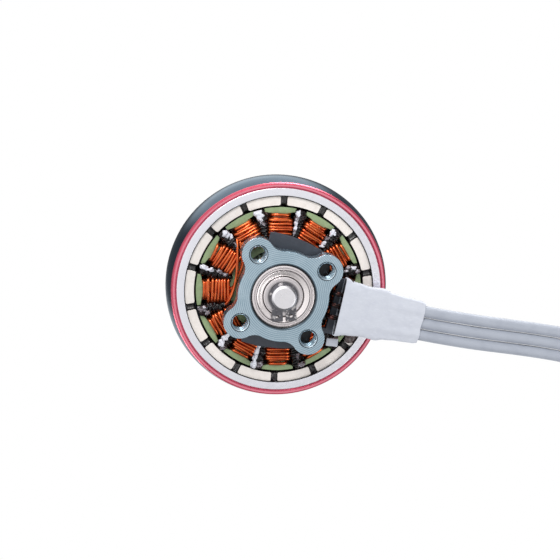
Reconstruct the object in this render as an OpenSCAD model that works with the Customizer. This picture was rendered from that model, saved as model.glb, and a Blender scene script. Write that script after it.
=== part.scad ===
// Outrunner motor for a multirotor arm, standing on its mounting face.
// The origin is the centre of the mounting face, +Z runs along the shaft to the propeller
// and +X points to where the three leads leave. All lengths are in millimetres.

/* [Mounting base] */
// Diameter of the bolt circle
bolt_circle_d = 16; // [15:0.5:18]
// Number of bolt holes and of the lobes that carry them
bolt_count = 4; // [3:1:4]
// Core diameter of the threaded bolt holes
bolt_hole_d = 2.5; // [1.6:0.1:2.9]
// Radius of a bolt lobe
lobe_r = 2.65; // [2.2:0.05:3]
// Radius of the flange between the lobes
waist_r = 7.35; // [6.9:0.05:7.7]
// Radius of the hollow curve from a lobe to the waist
lobe_fillet_r = 2.5; // [1.5:0.1:4]
// Thickness of the flange
flange_t = 2.6; // [2:0.1:2.9]
// Chamfer at the mouth of a bolt hole
bolt_chamfer = 0.2; // [0.1:0.05:0.6]
// Chamfer at the mouth of the bearing seat
seat_chamfer = 0.3; // [0.1:0.05:0.4]
// Wall of the hub tube around the bearings
hub_wall = 1; // [0.8:0.05:1.3]

/* [Bearings] */
// Outer diameter of both bearings
bearing_od = 10; // [9.5:0.1:10.5]
// Width of both bearings
bearing_w = 4; // [3.6:0.1:4.4]
// Depth of the lower bearing behind the mounting face
bearing_recess = 0.3; // [0.1:0.05:0.6]
// Diameter of a bearing ball
ball_d = 1.4; // [1.2:0.05:1.5]
// Number of balls in a bearing
ball_count = 8; // [6:1:9]
// Thickness of a bearing shield
shield_t = 0.2; // [0.1:0.05:0.3]

/* [Stator] */
// Number of stator teeth
tooth_count = 12; // [9:3:12]
// Outer diameter of the stator
stator_d = 27.1; // [26:0.1:29]
// Height of the steel stack
stack_h = 7; // [5:0.5:12]
// Height of the stack above the mounting face
stack_z = 6.5; // [6:0.1:8]
// Width of a tooth neck
tooth_w = 2; // [1.6:0.1:2.2]
// Radial thickness of the ring that joins the teeth
yoke_t = 1.9; // [1.5:0.1:2.1]
// Radial thickness of a tooth tip at its edge
tip_t = 0.6; // [0.4:0.05:0.8]
// Radial thickness of a tooth tip at its neck
tip_root_t = 1.05; // [0.9:0.05:1.2]
// Width of the slot opening between two tips
slot_opening = 1.8; // [1.4:0.1:2.4]
// Thickness of the green coating on the end faces
coating_t = 0.4; // [0.2:0.05:0.5]
// Thickness of the green coating in the slots
liner_t = 0.2; // [0.1:0.05:0.25]
// Angle of the first tooth from the leads
tooth_phase = 16; // [0:1:30]

/* [Windings] */
// Diameter of the winding wire
wire_d = 0.36; // [0.25:0.01:0.36]
// Loops of wire on a tooth
winding_loops = 5; // [3:1:5]
// Height of the end turns over the coating
crown_h = 0.55; // [0.3:0.05:0.8]

/* [Insulating plate] */
// Greatest width of the dark plate behind the flange
plate_w = 18.7; // [17.8:0.1:19.2]
// Radius of the plate's two curved sides
plate_side_r = 20.7; // [16:0.1:26]
// Distance from the shaft to the plate's back edge, away from the leads
plate_back_x = 4.2; // [3.6:0.1:4.3]
// Distance from the shaft to where the plate narrows to its bar
plate_front_x = 6.6; // [6:0.1:7]
// Thickness of the plate
plate_t = 0.8; // [0.5:0.1:1]
// Height of the step that carries the plate
plate_seat_h = 0.6; // [0.3:0.1:0.8]
// Distance from the shaft to the far side of the plate's bar
bar_x = 10.9; // [10.8:0.1:11.4]
// Width of the bar along the leads
bar_w = 2.3; // [1.8:0.1:2.4]
// Length of the bar across the leads
bar_len = 9.4; // [9:0.1:11]
// Length of the window across the leads
window_len = 7.8; // [7:0.1:8.4]

/* [Rotor] */
// Number of magnets
magnet_count = 14; // [10:2:16]
// Gap between the stator and the magnets
air_gap = 0.3; // [0.25:0.05:0.5]
// Radial thickness of a magnet
magnet_t = 1.54; // [1:0.02:2]
// Space between neighbouring magnets
magnet_spacing = 1; // [0.6:0.1:1.6]
// Radius of a magnet's long edges
magnet_edge_r = 0.3; // [0.1:0.05:0.4]
// Reach of the magnets below the stack
magnet_low = 0.6; // [0.3:0.1:0.6]
// Reach of the magnets above the stack
magnet_high = 1.5; // [1:0.1:1.6]
// Wall of the steel flux ring
flux_ring_t = 1.35; // [1:0.05:2]
// Wall of the bell around the flux ring
bell_wall = 0.74; // [0.6:0.02:1.2]
// Height of the red band at the bell's rim
rim_band_h = 0.5; // [0.3:0.05:1]
// Thickness of the bell's spokes
spoke_t = 1.9; // [1.4:0.1:2.6]
// Number of spokes
spoke_count = 7; // [5:1:9]
// Width of a spoke
spoke_w = 2.4; // [1.8:0.1:3]
// Swell of the bell's side between its rim and its shoulder
side_swell = 0.85; // [0.4:0.05:1]
// How much narrower the side ends at the shoulder than at the rim
side_taper = 0.25; // [0:0.05:0.4]
// Height of the shoulder between the bell's side and its top
shoulder_h = 3; // [2.4:0.1:3.1]
// Radius of the seat under the propeller
prop_seat_r = 6.2; // [5.6:0.1:6.8]
// Height of the propeller seat over the spokes
prop_seat_h = 1.9; // [1:0.1:3]

/* [Shaft] */
// Diameter of the shaft in the bearings
shaft_d = 4; // [3.8:0.05:4.2]
// Length of shaft that stands out of the mounting face
shaft_drop = 1.3; // [1:0.1:2]
// Diameter of the propeller stud
stud_d = 5; // [4.6:0.1:5.4]
// Length of the propeller stud
stud_len = 12.5; // [8:0.5:16]
// Thickness of the retaining clip
clip_t = 0.4; // [0.3:0.05:0.5]
// Radial width of the retaining clip
clip_w = 0.6; // [0.5:0.05:0.7]
// Reach of the clip's ears from the shaft's centre
ear_reach = 3.9; // [3.4:0.1:4]

/* [Leads] */
// Diameter of a lead over its insulation
lead_d = 1.9; // [1.5:0.1:1.9]
// Spacing of the leads in the sleeve
lead_pitch = 1.95; // [1.95:0.01:2]
// Diameter of the bundle of wire ends that runs to a lead
tail_d = 0.8; // [0.5:0.05:1]
// Height of the lead centres over the mounting face
lead_z = 1.5; // [1.3:0.05:1.6]
// Width of the white sleeve at the motor
sleeve_w = 9.7; // [9.5:0.1:10.2]
// Height of the white sleeve at the motor
sleeve_h = 2.5; // [2.4:0.05:2.6]
// Wall of the sleeve
sleeve_wall = 0.2; // [0.1:0.02:0.2]
// Distance from the shaft to the sleeve's inner end
sleeve_x = 9.5; // [9.5:0.05:10]
// Length of the sleeve
sleeve_len = 13.7; // [13.5:0.1:14]
// Length of the bare tinned wire at a lead's end
tip_len = 5; // [3:0.5:8]
// Diameter of the bare tinned wire
tip_d = 1.1; // [0.8:0.05:1.3]

/* [Hidden] */
$fn = 96;
// Clearance of parts that are pressed or slid together
fit = 0.01;
// Space between parts that pass each other
clear = 0.1;
// How far a cut runs past the surface that it opens
overrun = 1;

// Directions around the shaft
lead_angle = -2.4;
clip_angle = 73;
magnet_phase = 13.7;
bolt_phase = 45;

// Radii from the shaft outwards
shaft_r = shaft_d / 2;
stud_r = stud_d / 2;
bearing_r = bearing_od / 2;
hub_r = bearing_r + hub_wall;
yoke_r = hub_r + yoke_t;
stator_r = stator_d / 2;
magnet_in_r = stator_r + air_gap;
flux_in_r = magnet_in_r + magnet_t + fit;
flux_out_r = flux_in_r + flux_ring_t;
bell_in_r = flux_out_r + fit;
bell_r = bell_in_r + bell_wall;

// Heights from the mounting face to the top of the stud
plate_z = flange_t + plate_seat_h;
stack_top = stack_z + stack_h;
coat_z = stack_z - coating_t;
coat_top = stack_top + coating_t;
magnet_z = stack_z - magnet_low;
magnet_top = stack_top + magnet_high;
ring_margin_low = 0.3;
ring_margin_high = 0.4;
flux_z = magnet_z - ring_margin_low;
flux_top = magnet_top + ring_margin_high;
rim_recess = 0.1;
rim_z = flux_z - rim_recess;
hub_rise = 2.5;
hub_top = stack_top + hub_rise;
upper_bearing_z = hub_top - clear - bearing_w;
upper_washer_t = 0.3;
boss_z = upper_bearing_z + bearing_w + upper_washer_t;
bell_gap = 0.7;
bell_under_z = hub_top + bell_gap;
spoke_top = bell_under_z + spoke_t;
prop_seat_z = spoke_top + prop_seat_h;
stud_top = prop_seat_z + stud_len;

// Mounting base
bearing_step = 0.8;
fillet_sink = 0.02;
plate_step_inset = 0.2;
stack_step_w = 0.6;
stack_step_r = hub_r + stack_step_w;

// Inside of a bearing, as shares of the way from the shaft to its outer surface
inner_race_share = 0.4;
outer_race_share = 0.717;
shield_seat_share = 0.767;
inner_race_r = shaft_r + inner_race_share * (bearing_r - shaft_r);
outer_race_r = shaft_r + outer_race_share * (bearing_r - shaft_r);
shield_seat_r = shaft_r + shield_seat_share * (bearing_r - shaft_r);
shield_seat_depth = 0.25;
ball_track_r = (inner_race_r + outer_race_r) / 2;
ball_r = ball_d / 2;
groove_clear = 0.03;
cage_t = 0.5;
pocket_clear = 0.04;
cage_web = 0.2;
cage_h = ball_d + 2 * pocket_clear + 2 * cage_web;

// Retaining clip and its washer on the lower bearing
clip_depth = 0.25;
clip_r = shaft_r - clip_depth;
lower_washer_t = 0.15;
washer_w = 1;
clip_z = bearing_recess - lower_washer_t - clip_t;
ear_w = 1.7;
ear_gap = 0.5;
ear_hole_r = 0.3;

// Insulating plate
plate_crest_x = -2;
plate_side_y = plate_w / 2 - plate_side_r;
window_x = bar_x - bar_w;

// Bell details
boss_r = 3.6;
boss_flare = 0.8;
rim_chamfer = 0.15;
flux_lip_w = 1.2;
window_margin_in = 1.3;
window_margin_out = 4.2;
window_in_r = prop_seat_r + window_margin_in;
window_out_r = bell_r - window_margin_out;
spoke_sweep_angle = 26;
spoke_place_shares = [0, 0.32, 0.7, 1];
spoke_width_shares = [1.7, 1, 1, 1.7];
shoulder_w = 2.3;
shoulder_steps = 6;
side_steps = 9;
side_low_z = rim_z + rim_chamfer;
side_top_z = spoke_top - shoulder_h;
dish_h = 0.5;
seat_edge = 0.4;
stud_chamfer = 0.5;
shaft_chamfer = 0.3;

// The red anodised band, the dark bell and the other colours
slate = [0.24, 0.27, 0.32];
rim_red = [0.84, 0.31, 0.41];
base_blue = [0.65, 0.76, 0.82];
plate_grey = [0.29, 0.31, 0.37];
steel = [0.78, 0.77, 0.78];
dark_steel = [0.35, 0.35, 0.38];
flux_silver = [0.88, 0.88, 0.94];
magnet_cream = [0.92, 0.89, 0.86];
coat_green = [0.51, 0.65, 0.41];
copper = [0.8, 0.37, 0.14];
lead_grey = [0.8, 0.82, 0.87];
sleeve_white = [0.86, 0.88, 0.93];
tin = [0.8, 0.8, 0.82];
ball_steel = [0.7, 0.7, 0.72];
cage_brass = [0.72, 0.6, 0.35];

// Windings
wire_sides = 6;
corner_points = 2;
loop_points = 4 * corner_points;
winding_clear = 0.05;
corner_r = 0.6;
winding_start = yoke_r + liner_t + winding_clear + wire_d / 2;
winding_end = stator_r - tip_root_t - clear - wire_d / 2;
winding_half_w = tooth_w / 2 + liner_t + winding_clear + wire_d / 2;
winding_half_h = stack_h / 2 + coating_t + winding_clear + crown_h + wire_d / 2;

// Sleeve, seen along the leads: places of the sections, their widths and their heights
sleeve_place_shares = [0, 0.15, 0.33, 0.49, 0.6, 0.75, 0.94, 1];
sleeve_width_shares = [1, 0.9, 0.85, 0.88, 0.8, 0.755, 0.73, 0.69];
sleeve_height_shares = [1, 0.98, 0.96, 0.98, 0.96, 0.95, 0.95, 0.95];
sleeve_arc_points = 8;
sleeve_end_x = sleeve_x + sleeve_len;
tail_x = (waist_r + window_x) / 2;
tail_bend_r = 1.1;
tail_gap = 0.5;
tail_top_z = coat_z - crown_h - winding_clear - wire_d - tail_gap;
lead_joint_x = 12.5;

// Free route of the middle lead past the sleeve, and the spacing of the outer two from it
lead_sides = 8;
lead_straight = 2;
lead_points = [
    [27.5, -1.22, 1.4], [30, -1.43, 1.27], [32.5, -1.67, 1.13], [35, -1.95, 1.04],
    [38, -2.29, 1], [41, -2.61, 1], [44, -2.88, 1], [47, -3.09, 1],
    [50, -3.22, 1], [53, -3.29, 1], [56, -3.3, 1], [58.5, -3.3, 1],
    [60.5, -3.3, 1]
];
lead_spacings = [1.96, 1.97, 1.97, 1.97, 1.96, 1.96, 1.96, 1.97, 1.98, 1.99, 2, 2, 2];

// Coil of the three leads put away past the end of the route
coil_mid_r = 11.2;
coil_pitch = 2;
coil_layer_h = 2.4;
coil_len = 92;
coil_steps = 24;
climb_from = 200;
climb_to = 305;
coil_start = lead_points[len(lead_points) - 1];
coil_centre = [coil_start[0], coil_start[1] - coil_mid_r];

tooth_nodes = [for (i = [1:tooth_count]) str("coil_", i)];
magnet_nodes = [for (i = [1:magnet_count]) str("magnet_", i)];
lead_names = ["a", "b", "c"];

// Sweeping a round wire along points
function unit(v) = v / norm(v);
function tangent(p, i) = unit(p[min(i + 1, len(p) - 1)] - p[max(i - 1, 0)]);
function ring(p, i, up, r, sides) =
    let (t = tangent(p, i), a = unit(cross(up, t)), b = cross(t, a))
    [for (k = [0:sides - 1]) p[i] + r * (cos(360 * k / sides) * a + sin(360 * k / sides) * b)];
function skin(rings, sides) = [
    for (i = [0:rings - 2], k = [0:sides - 1], half = [0, 1])
        let (n = (k + 1) % sides, low = i * sides, high = low + sides)
        half == 0 ? [low + k, high + n, low + n] : [low + k, high + k, high + n]
];
function caps(rings, sides) = [
    for (k = [1:sides - 2], end = [0, 1])
        let (last = (rings - 1) * sides)
        end == 0 ? [0, k, k + 1] : [last, last + k + 1, last + k]
];

module wire(p, up, d, sides) {
    polyhedron(
        points = [for (i = [0:len(p) - 1]) each ring(p, i, up, d / 2, sides)],
        faces = concat(skin(len(p), sides), caps(len(p), sides))
    );
}

// The least distance between points of a path that lie at least apart_by points from each other
function least_gap(p, apart_by, d) = min([
    for (i = [0:len(p) - 1 - apart_by], j = [i + apart_by:len(p) - 1]) norm(p[i] - p[j])
]) - d;

module ring_solid(r_in, r_out, h) {
    difference() {
        cylinder(r = r_out, h = h);
        translate([0, 0, -overrun]) cylinder(r = r_in, h = h + 2 * overrun);
    }
}

module pie(r, angle) {
    polygon([
        [0, 0],
        for (s = [-1, -0.5, 0, 0.5, 1]) r * 2 * [cos(s * angle / 2), sin(s * angle / 2)]
    ]);
}

// Mounting base
fillet_far = waist_r + lobe_fillet_r - fillet_sink;
fillet_near = lobe_r + lobe_fillet_r - fillet_sink;
bolt_r = bolt_circle_d / 2;
fillet_turn = acos((fillet_far ^ 2 + bolt_r ^ 2 - fillet_near ^ 2) / (2 * fillet_far * bolt_r));

module lobe_with_fillets() {
    translate([bolt_r, 0]) circle(r = lobe_r);
    for (side = [-1, 1]) {
        place = fillet_far * [cos(fillet_turn), side * sin(fillet_turn)];
        difference() {
            polygon([[0, 0], [bolt_r, 0], place]);
            translate(place) circle(r = lobe_fillet_r);
        }
    }
}

module at_bolts() {
    for (i = [0:bolt_count - 1]) rotate(bolt_phase + 360 * i / bolt_count) children();
}

module flange_outline() {
    circle(r = waist_r);
    at_bolts() lobe_with_fillets();
}

module base_mount() {
    between_r = bearing_r - bearing_step;
    hole_r = bolt_hole_d / 2;
    color(base_blue)
    difference() {
        union() {
            linear_extrude(flange_t) flange_outline();
            cylinder(r = waist_r - plate_step_inset, h = plate_z);
            cylinder(r = stack_step_r, h = stack_z);
            cylinder(r = hub_r, h = hub_top);
        }
        translate([0, 0, -overrun]) cylinder(r = between_r, h = hub_top + 2 * overrun);
        translate([0, 0, -overrun])
            cylinder(r = bearing_r + fit, h = bearing_recess + bearing_w + overrun);
        translate([0, 0, upper_bearing_z]) cylinder(r = bearing_r + fit, h = hub_top);
        cylinder(r1 = bearing_r + fit + seat_chamfer, r2 = bearing_r + fit, h = seat_chamfer);
        at_bolts() translate([bolt_r, 0, 0]) {
            translate([0, 0, -overrun]) cylinder(r = hole_r, h = flange_t + 2 * overrun);
            cylinder(r1 = hole_r + bolt_chamfer, r2 = hole_r, h = bolt_chamfer);
        }
    }
}

// Ball bearings, drawn from their lower face
module ball_groove() {
    rotate_extrude() translate([ball_track_r, bearing_w / 2]) circle(r = ball_r + groove_clear);
}

module outer_race() {
    color(steel)
    difference() {
        ring_solid(outer_race_r, bearing_r, bearing_w);
        ball_groove();
        for (z = [-overrun, bearing_w - shield_seat_depth])
            translate([0, 0, z]) cylinder(r = shield_seat_r, h = shield_seat_depth + overrun);
    }
}

module inner_race() {
    color(steel)
    difference() {
        ring_solid(shaft_r + fit, inner_race_r, bearing_w);
        ball_groove();
    }
}

module at_balls() {
    for (i = [0:ball_count - 1])
        rotate(360 * i / ball_count) translate([ball_track_r, 0, bearing_w / 2]) children();
}

module balls() {
    color(ball_steel) at_balls() sphere(r = ball_r);
}

module cage() {
    color(cage_brass)
    difference() {
        translate([0, 0, (bearing_w - cage_h) / 2])
            ring_solid(ball_track_r - cage_t / 2, ball_track_r + cage_t / 2, cage_h);
        at_balls()
            rotate([0, 90, 0]) cylinder(r = ball_r + pocket_clear, h = 2 * cage_t, center = true);
    }
}

module shields() {
    shield_in_r = inner_race_r + clear;
    color(flux_silver)
    for (z = [shield_seat_depth - shield_t, bearing_w - shield_seat_depth])
        translate([0, 0, z]) ring_solid(shield_in_r, shield_seat_r - fit, shield_t);
}

module lower() {
    translate([0, 0, bearing_recess]) children();
}

module upper() {
    translate([0, 0, upper_bearing_z]) children();
}

// Stator
slot_half_angle = asin(slot_opening / 2 / stator_r);
tip_half_angle = 180 / tooth_count - slot_half_angle;

module tooth(neck_w) {
    neck_end = stator_r - tip_root_t;
    edge_r = stator_r - tip_t;
    translate([0, -neck_w / 2]) square([neck_end + tip_t / 2, neck_w]);
    intersection() {
        circle(r = stator_r);
        polygon([
            [neck_end, -tooth_w / 2],
            edge_r * [cos(tip_half_angle), -sin(tip_half_angle)],
            (stator_r + overrun) * [cos(tip_half_angle), -sin(tip_half_angle)],
            (stator_r + overrun) * [cos(tip_half_angle), sin(tip_half_angle)],
            edge_r * [cos(tip_half_angle), sin(tip_half_angle)],
            [neck_end, tooth_w / 2]
        ]);
    }
}

module at_teeth() {
    for (i = [0:tooth_count - 1]) rotate(tooth_phase + 360 * i / tooth_count) children();
}

module star(neck_w, ring_r) {
    circle(r = ring_r);
    at_teeth() tooth(neck_w);
}

module stator_core() {
    color(steel)
    translate([0, 0, stack_z])
    linear_extrude(stack_h)
    difference() {
        star(tooth_w, yoke_r);
        circle(r = hub_r + fit);
    }
}

module stator_coating() {
    color(coat_green)
    difference() {
        translate([0, 0, coat_z])
        linear_extrude(stack_h + 2 * coating_t)
        difference() {
            star(tooth_w + 2 * liner_t, yoke_r + liner_t);
            circle(r = stack_step_r + clear);
        }
        translate([0, 0, stack_z]) linear_extrude(stack_h) star(tooth_w, yoke_r);
    }
}

// One loop of wire around a tooth, as points across and along it, from its lower corner
function corner_side(c) = (c == 0 || c == 3) ? 1 : -1;
function corner_up(c) = c < 2 ? 1 : -1;
function loop_place(k) =
    let (j = (k + loop_points - corner_points) % loop_points)
    let (c = floor(j / corner_points), turn = 90 * c + 90 * (j % corner_points))
    [
        corner_side(c) * (winding_half_w - corner_r) + corner_r * cos(turn),
        corner_up(c) * (winding_half_h - corner_r) + corner_r * sin(turn)
    ];
loop_lengths = [for (k = [0:loop_points - 1]) norm(loop_place(k + 1) - loop_place(k))];
function total(v, n) = n == 0 ? 0 : v[n - 1] + total(v, n - 1);
function loop_share(k) =
    floor(k / loop_points) + total(loop_lengths, k % loop_points) / total(loop_lengths, loop_points);
winding_path = [
    for (k = [0:winding_loops * loop_points])
        let (
            along = loop_share(k) / winding_loops,
            r = winding_start + (winding_end - winding_start) * along,
            place = loop_place(k)
        )
        [r, place[0], stack_z + stack_h / 2 + place[1]]
];

module winding(i) {
    color(copper)
    rotate(tooth_phase + 360 * i / tooth_count) wire(winding_path, [1, 0, 0], wire_d, wire_sides);
}

// Dark insulating plate, open on the side away from the leads
module insulating_plate() {
    corner = bar_w / 4;
    color(plate_grey)
    translate([0, 0, plate_z])
    linear_extrude(plate_t)
    difference() {
        union() {
            intersection() {
                translate([plate_crest_x, plate_side_y]) circle(r = plate_side_r);
                translate([plate_crest_x, -plate_side_y]) circle(r = plate_side_r);
                translate([-plate_back_x, -plate_w / 2]) square([plate_back_x + plate_front_x, plate_w]);
            }
            translate([hub_r, corner - bar_len / 2]) square([bar_x - hub_r, bar_len - 2 * corner]);
            translate([hub_r, -bar_len / 2]) square([bar_x - hub_r - corner, bar_len]);
            for (side = [-1, 1])
                translate([bar_x - corner, side * (bar_len / 2 - corner)]) circle(r = corner);
        }
        circle(r = stack_step_r + fit);
        translate([waist_r, -window_len / 2]) square([window_x - waist_r, window_len]);
    }
}

// Wire ends that rise through the plate's window into the sleeve
module at_leads() {
    rotate(lead_angle)
    for (i = [-1:1]) translate([0, i * lead_pitch, 0]) children();
}

module phase_tails() {
    tail_r = tail_d / 2;
    bend_x = tail_x + tail_bend_r;
    bend_z = lead_z + tail_bend_r;
    color(copper)
    at_leads() {
        translate([tail_x, 0, bend_z]) cylinder(r = tail_r, h = tail_top_z - bend_z);
        translate([bend_x, 0, bend_z])
            rotate([90, 0, 0])
            rotate(180)
            rotate_extrude(angle = 90) translate([tail_bend_r, 0]) circle(r = tail_r);
        translate([bend_x, 0, lead_z])
            rotate([0, 90, 0]) cylinder(r = tail_r, h = lead_joint_x - bend_x);
    }
}

module lead_roots() {
    color(lead_grey)
    at_leads()
    translate([lead_joint_x, 0, lead_z])
    rotate([0, 90, 0]) cylinder(d = lead_d, h = sleeve_end_x - lead_joint_x);
}

// Flattened sleeve over the three leads, a tube whose outline follows the shares
function stadium(x, half_w, half_h) = [
    for (side = [1, -1], k = [0:sleeve_arc_points - 1])
        let (turn = -90 * side + 180 * k / (sleeve_arc_points - 1))
        [x, side * (half_w - half_h) + half_h * cos(turn), lead_z + half_h * sin(turn)]
];
sleeve_sides = 2 * sleeve_arc_points;
sleeve_sections = len(sleeve_place_shares);
function sleeve_skin(wall) = [
    for (i = [0:sleeve_sections - 1])
        each stadium(
            sleeve_x + sleeve_len * sleeve_place_shares[i],
            sleeve_w / 2 * sleeve_width_shares[i] - wall,
            sleeve_h / 2 * sleeve_height_shares[i] - wall
        )
];
function flipped(faces, shift) = [for (f = faces) [f[0] + shift, f[2] + shift, f[1] + shift]];
function sleeve_end(low, shift, turned) = [
    for (k = [0:sleeve_sides - 1], half = [0, 1])
        let (n = (k + 1) % sleeve_sides)
        let (f = half == 0 ? [low + k, low + n, low + n + shift] : [low + k, low + n + shift, low + k + shift])
        turned ? [f[0], f[2], f[1]] : f
];

module lead_sleeve() {
    inside = sleeve_sections * sleeve_sides;
    outer_faces = skin(sleeve_sections, sleeve_sides);
    last = (sleeve_sections - 1) * sleeve_sides;
    color(sleeve_white)
    rotate(lead_angle)
    polyhedron(
        points = concat(sleeve_skin(0), sleeve_skin(sleeve_wall)),
        faces = concat(
            outer_faces,
            flipped(outer_faces, inside),
            sleeve_end(0, inside, false),
            sleeve_end(last, inside, true)
        )
    );
}

// Free leads: straight out of the sleeve, along the route, then into the coil
function turned_to_leads(p) = [
    p[0] * cos(lead_angle) - p[1] * sin(lead_angle),
    p[0] * sin(lead_angle) + p[1] * cos(lead_angle),
    p[2]
];
function lead_route(i) = concat(
    [for (x = [0, lead_straight]) turned_to_leads([sleeve_end_x + x, i * lead_pitch, lead_z])],
    [for (k = [0:len(lead_points) - 1]) lead_points[k] + [0, i * lead_spacings[k], 0]]
);
function coil_r(i) = coil_mid_r + i * coil_pitch;
function climbed(turn) =
    let (share = max(0, min(1, (turn - climb_from) / (climb_to - climb_from))))
    coil_layer_h * (1 - cos(180 * share)) / 2;
function coil_turn(i) = coil_len / (2 * PI * coil_r(i)) * 360;
function coil_place(i, turn) = [
    coil_centre[0] + coil_r(i) * sin(turn),
    coil_centre[1] + coil_r(i) * cos(turn),
    coil_start[2] + climbed(turn)
];
function coil_path(i) =
    let (steps = ceil(coil_turn(i) / 360 * coil_steps))
    [for (k = [0:steps]) coil_place(i, coil_turn(i) * k / steps)];

module lead(i) {
    color(lead_grey) wire(lead_route(i), [0, 0, 1], lead_d, lead_sides);
}

module lead_coil(i) {
    color(lead_grey) wire(coil_path(i), [0, 0, 1], lead_d, wire_sides);
}

module lead_tip(i) {
    path = coil_path(i);
    end = path[len(path) - 1];
    heading = tangent(path, len(path) - 1);
    color(tin)
    translate(end)
    rotate([0, 90, atan2(heading[1], heading[0])]) cylinder(d = tip_d, h = tip_len);
}

// Rotor
// The side swells as a parabola, and the shoulder goes on from its slope to the flat top
band_top_z = rim_z + rim_band_h;
function side_point(z) =
    let (share = (z - side_low_z) / (side_top_z - side_low_z))
    [bell_r - side_taper * share + 4 * side_swell * share * (1 - share), z];
side_end = side_point(side_top_z);
side_slope = (side_taper + 4 * side_swell) / (side_top_z - side_low_z);
shoulder_corner = [side_end[0] - side_slope * shoulder_h, spoke_top];
shoulder_end = [bell_r - shoulder_w, spoke_top];
function shoulder_point(k) =
    let (share = k / shoulder_steps)
    (1 - share) ^ 2 * side_end + 2 * share * (1 - share) * shoulder_corner + share ^ 2 * shoulder_end;

module bell_profile() {
    lip_r = bell_in_r - flux_lip_w;
    polygon(concat(
        [
            [shaft_r + fit, boss_z],
            [boss_r, boss_z],
            [boss_r + boss_flare, bell_under_z],
            [lip_r, bell_under_z],
            [lip_r, flux_top],
            [bell_in_r, flux_top],
            [bell_in_r, band_top_z]
        ],
        [
            for (k = [0:side_steps])
                side_point(band_top_z + (side_top_z - band_top_z) * k / side_steps)
        ],
        [for (k = [1:shoulder_steps]) shoulder_point(k)],
        [
            [window_out_r, spoke_top],
            [window_in_r, spoke_top - dish_h],
            [prop_seat_r + seat_edge, spoke_top - dish_h],
            [prop_seat_r, spoke_top],
            [prop_seat_r, prop_seat_z - seat_edge],
            [prop_seat_r - seat_edge, prop_seat_z],
            [shaft_r + fit, prop_seat_z]
        ]
    ));
}

// A spoke swept back from the hub to the shoulder, wider at both roots
spoke_foot = [window_in_r - spoke_w / 2, 0];
spoke_end = (window_out_r + spoke_w / 2) * [cos(spoke_sweep_angle), sin(spoke_sweep_angle)];
spoke_way = unit(spoke_end - spoke_foot);
function spoke_edge(k, side) =
    spoke_foot
    + spoke_place_shares[k] * (spoke_end - spoke_foot)
    + side * spoke_width_shares[k] * spoke_w / 2 * [-spoke_way[1], spoke_way[0]];

module spoke() {
    last = len(spoke_place_shares) - 1;
    polygon(concat(
        [for (k = [0:last]) spoke_edge(k, -1)],
        [for (k = [0:last]) spoke_edge(last - k, 1)]
    ));
}

// The bare red band at the bell's rim, where the slate finish is turned away
module rim_band() {
    rotate_extrude()
    polygon([
        [bell_in_r, rim_z + rim_chamfer],
        [bell_in_r + rim_chamfer, rim_z],
        [bell_r - rim_chamfer, rim_z],
        [bell_r, side_low_z],
        side_point(band_top_z),
        [bell_in_r, band_top_z]
    ]);
}

module bell() {
    window_h = spoke_t + 2 * overrun;
    color(rim_red) rim_band();
    color(slate)
    difference() {
        rotate_extrude() bell_profile();
        translate([0, 0, bell_under_z - overrun])
        linear_extrude(window_h)
        difference() {
            circle(r = window_out_r);
            circle(r = window_in_r);
            for (i = [0:spoke_count - 1]) rotate(360 * i / spoke_count) spoke();
        }
    }
}

module flux_ring() {
    color(flux_silver)
    translate([0, 0, flux_z]) ring_solid(flux_in_r, flux_out_r, flux_top - flux_z);
}

magnet_out_r = magnet_in_r + magnet_t;
magnet_angle = 360 / magnet_count - 2 * asin(magnet_spacing / 2 / magnet_in_r);

module ring_sector(r_in, r_out, angle) {
    intersection() {
        difference() {
            circle(r = r_out);
            circle(r = r_in);
        }
        pie(r_out, angle);
    }
}

// A magnet whose four long edges are rounded
module magnet_outline() {
    low_r = magnet_in_r + magnet_edge_r;
    high_r = magnet_out_r - magnet_edge_r;
    low_turn = asin(magnet_edge_r / low_r);
    high_turn = asin(magnet_edge_r / high_r);
    ring_sector(low_r, high_r, magnet_angle);
    ring_sector(magnet_in_r, magnet_out_r, magnet_angle - 2 * low_turn);
    for (side = [-1, 1]) {
        rotate(side * (magnet_angle / 2 - low_turn)) translate([low_r, 0]) circle(r = magnet_edge_r);
        rotate(side * (magnet_angle / 2 - high_turn)) translate([high_r, 0]) circle(r = magnet_edge_r);
    }
}

module magnet(i) {
    color(magnet_cream)
    rotate(magnet_phase + 360 * i / magnet_count)
    translate([0, 0, magnet_z]) linear_extrude(magnet_top - magnet_z) magnet_outline();
}

module shaft() {
    groove_low = clip_z - fit;
    groove_high = clip_z + clip_t + fit;
    color(steel)
    rotate_extrude()
    polygon([
        [0, -shaft_drop],
        [shaft_r - shaft_chamfer, -shaft_drop],
        [shaft_r, shaft_chamfer - shaft_drop],
        [shaft_r, groove_low],
        [clip_r - fit, groove_low],
        [clip_r - fit, groove_high],
        [shaft_r, groove_high],
        [shaft_r, prop_seat_z],
        [stud_r, prop_seat_z],
        [stud_r, stud_top - stud_chamfer],
        [stud_r - stud_chamfer, stud_top],
        [0, stud_top]
    ]);
}

// Spring clip with two pierced ears at its opening
module retaining_clip() {
    clip_out_r = shaft_r + clip_w - clip_depth;
    color(dark_steel)
    rotate(clip_angle)
    translate([0, 0, clip_z])
    linear_extrude(clip_t)
    difference() {
        union() {
            circle(r = clip_out_r);
            translate([0, -ear_gap / 2 - ear_w]) square([ear_reach, 2 * ear_w + ear_gap]);
        }
        circle(r = clip_r);
        translate([0, -ear_gap / 2]) square([ear_reach + overrun, ear_gap]);
        for (side = [-1, 1])
            translate([(clip_out_r + ear_reach) / 2, side * (ear_gap + ear_w) / 2])
                circle(r = ear_hole_r);
    }
}

module lower_washer() {
    color(steel)
    translate([0, 0, bearing_recess - lower_washer_t])
        ring_solid(shaft_r + fit, shaft_r + washer_w, lower_washer_t);
}

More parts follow.
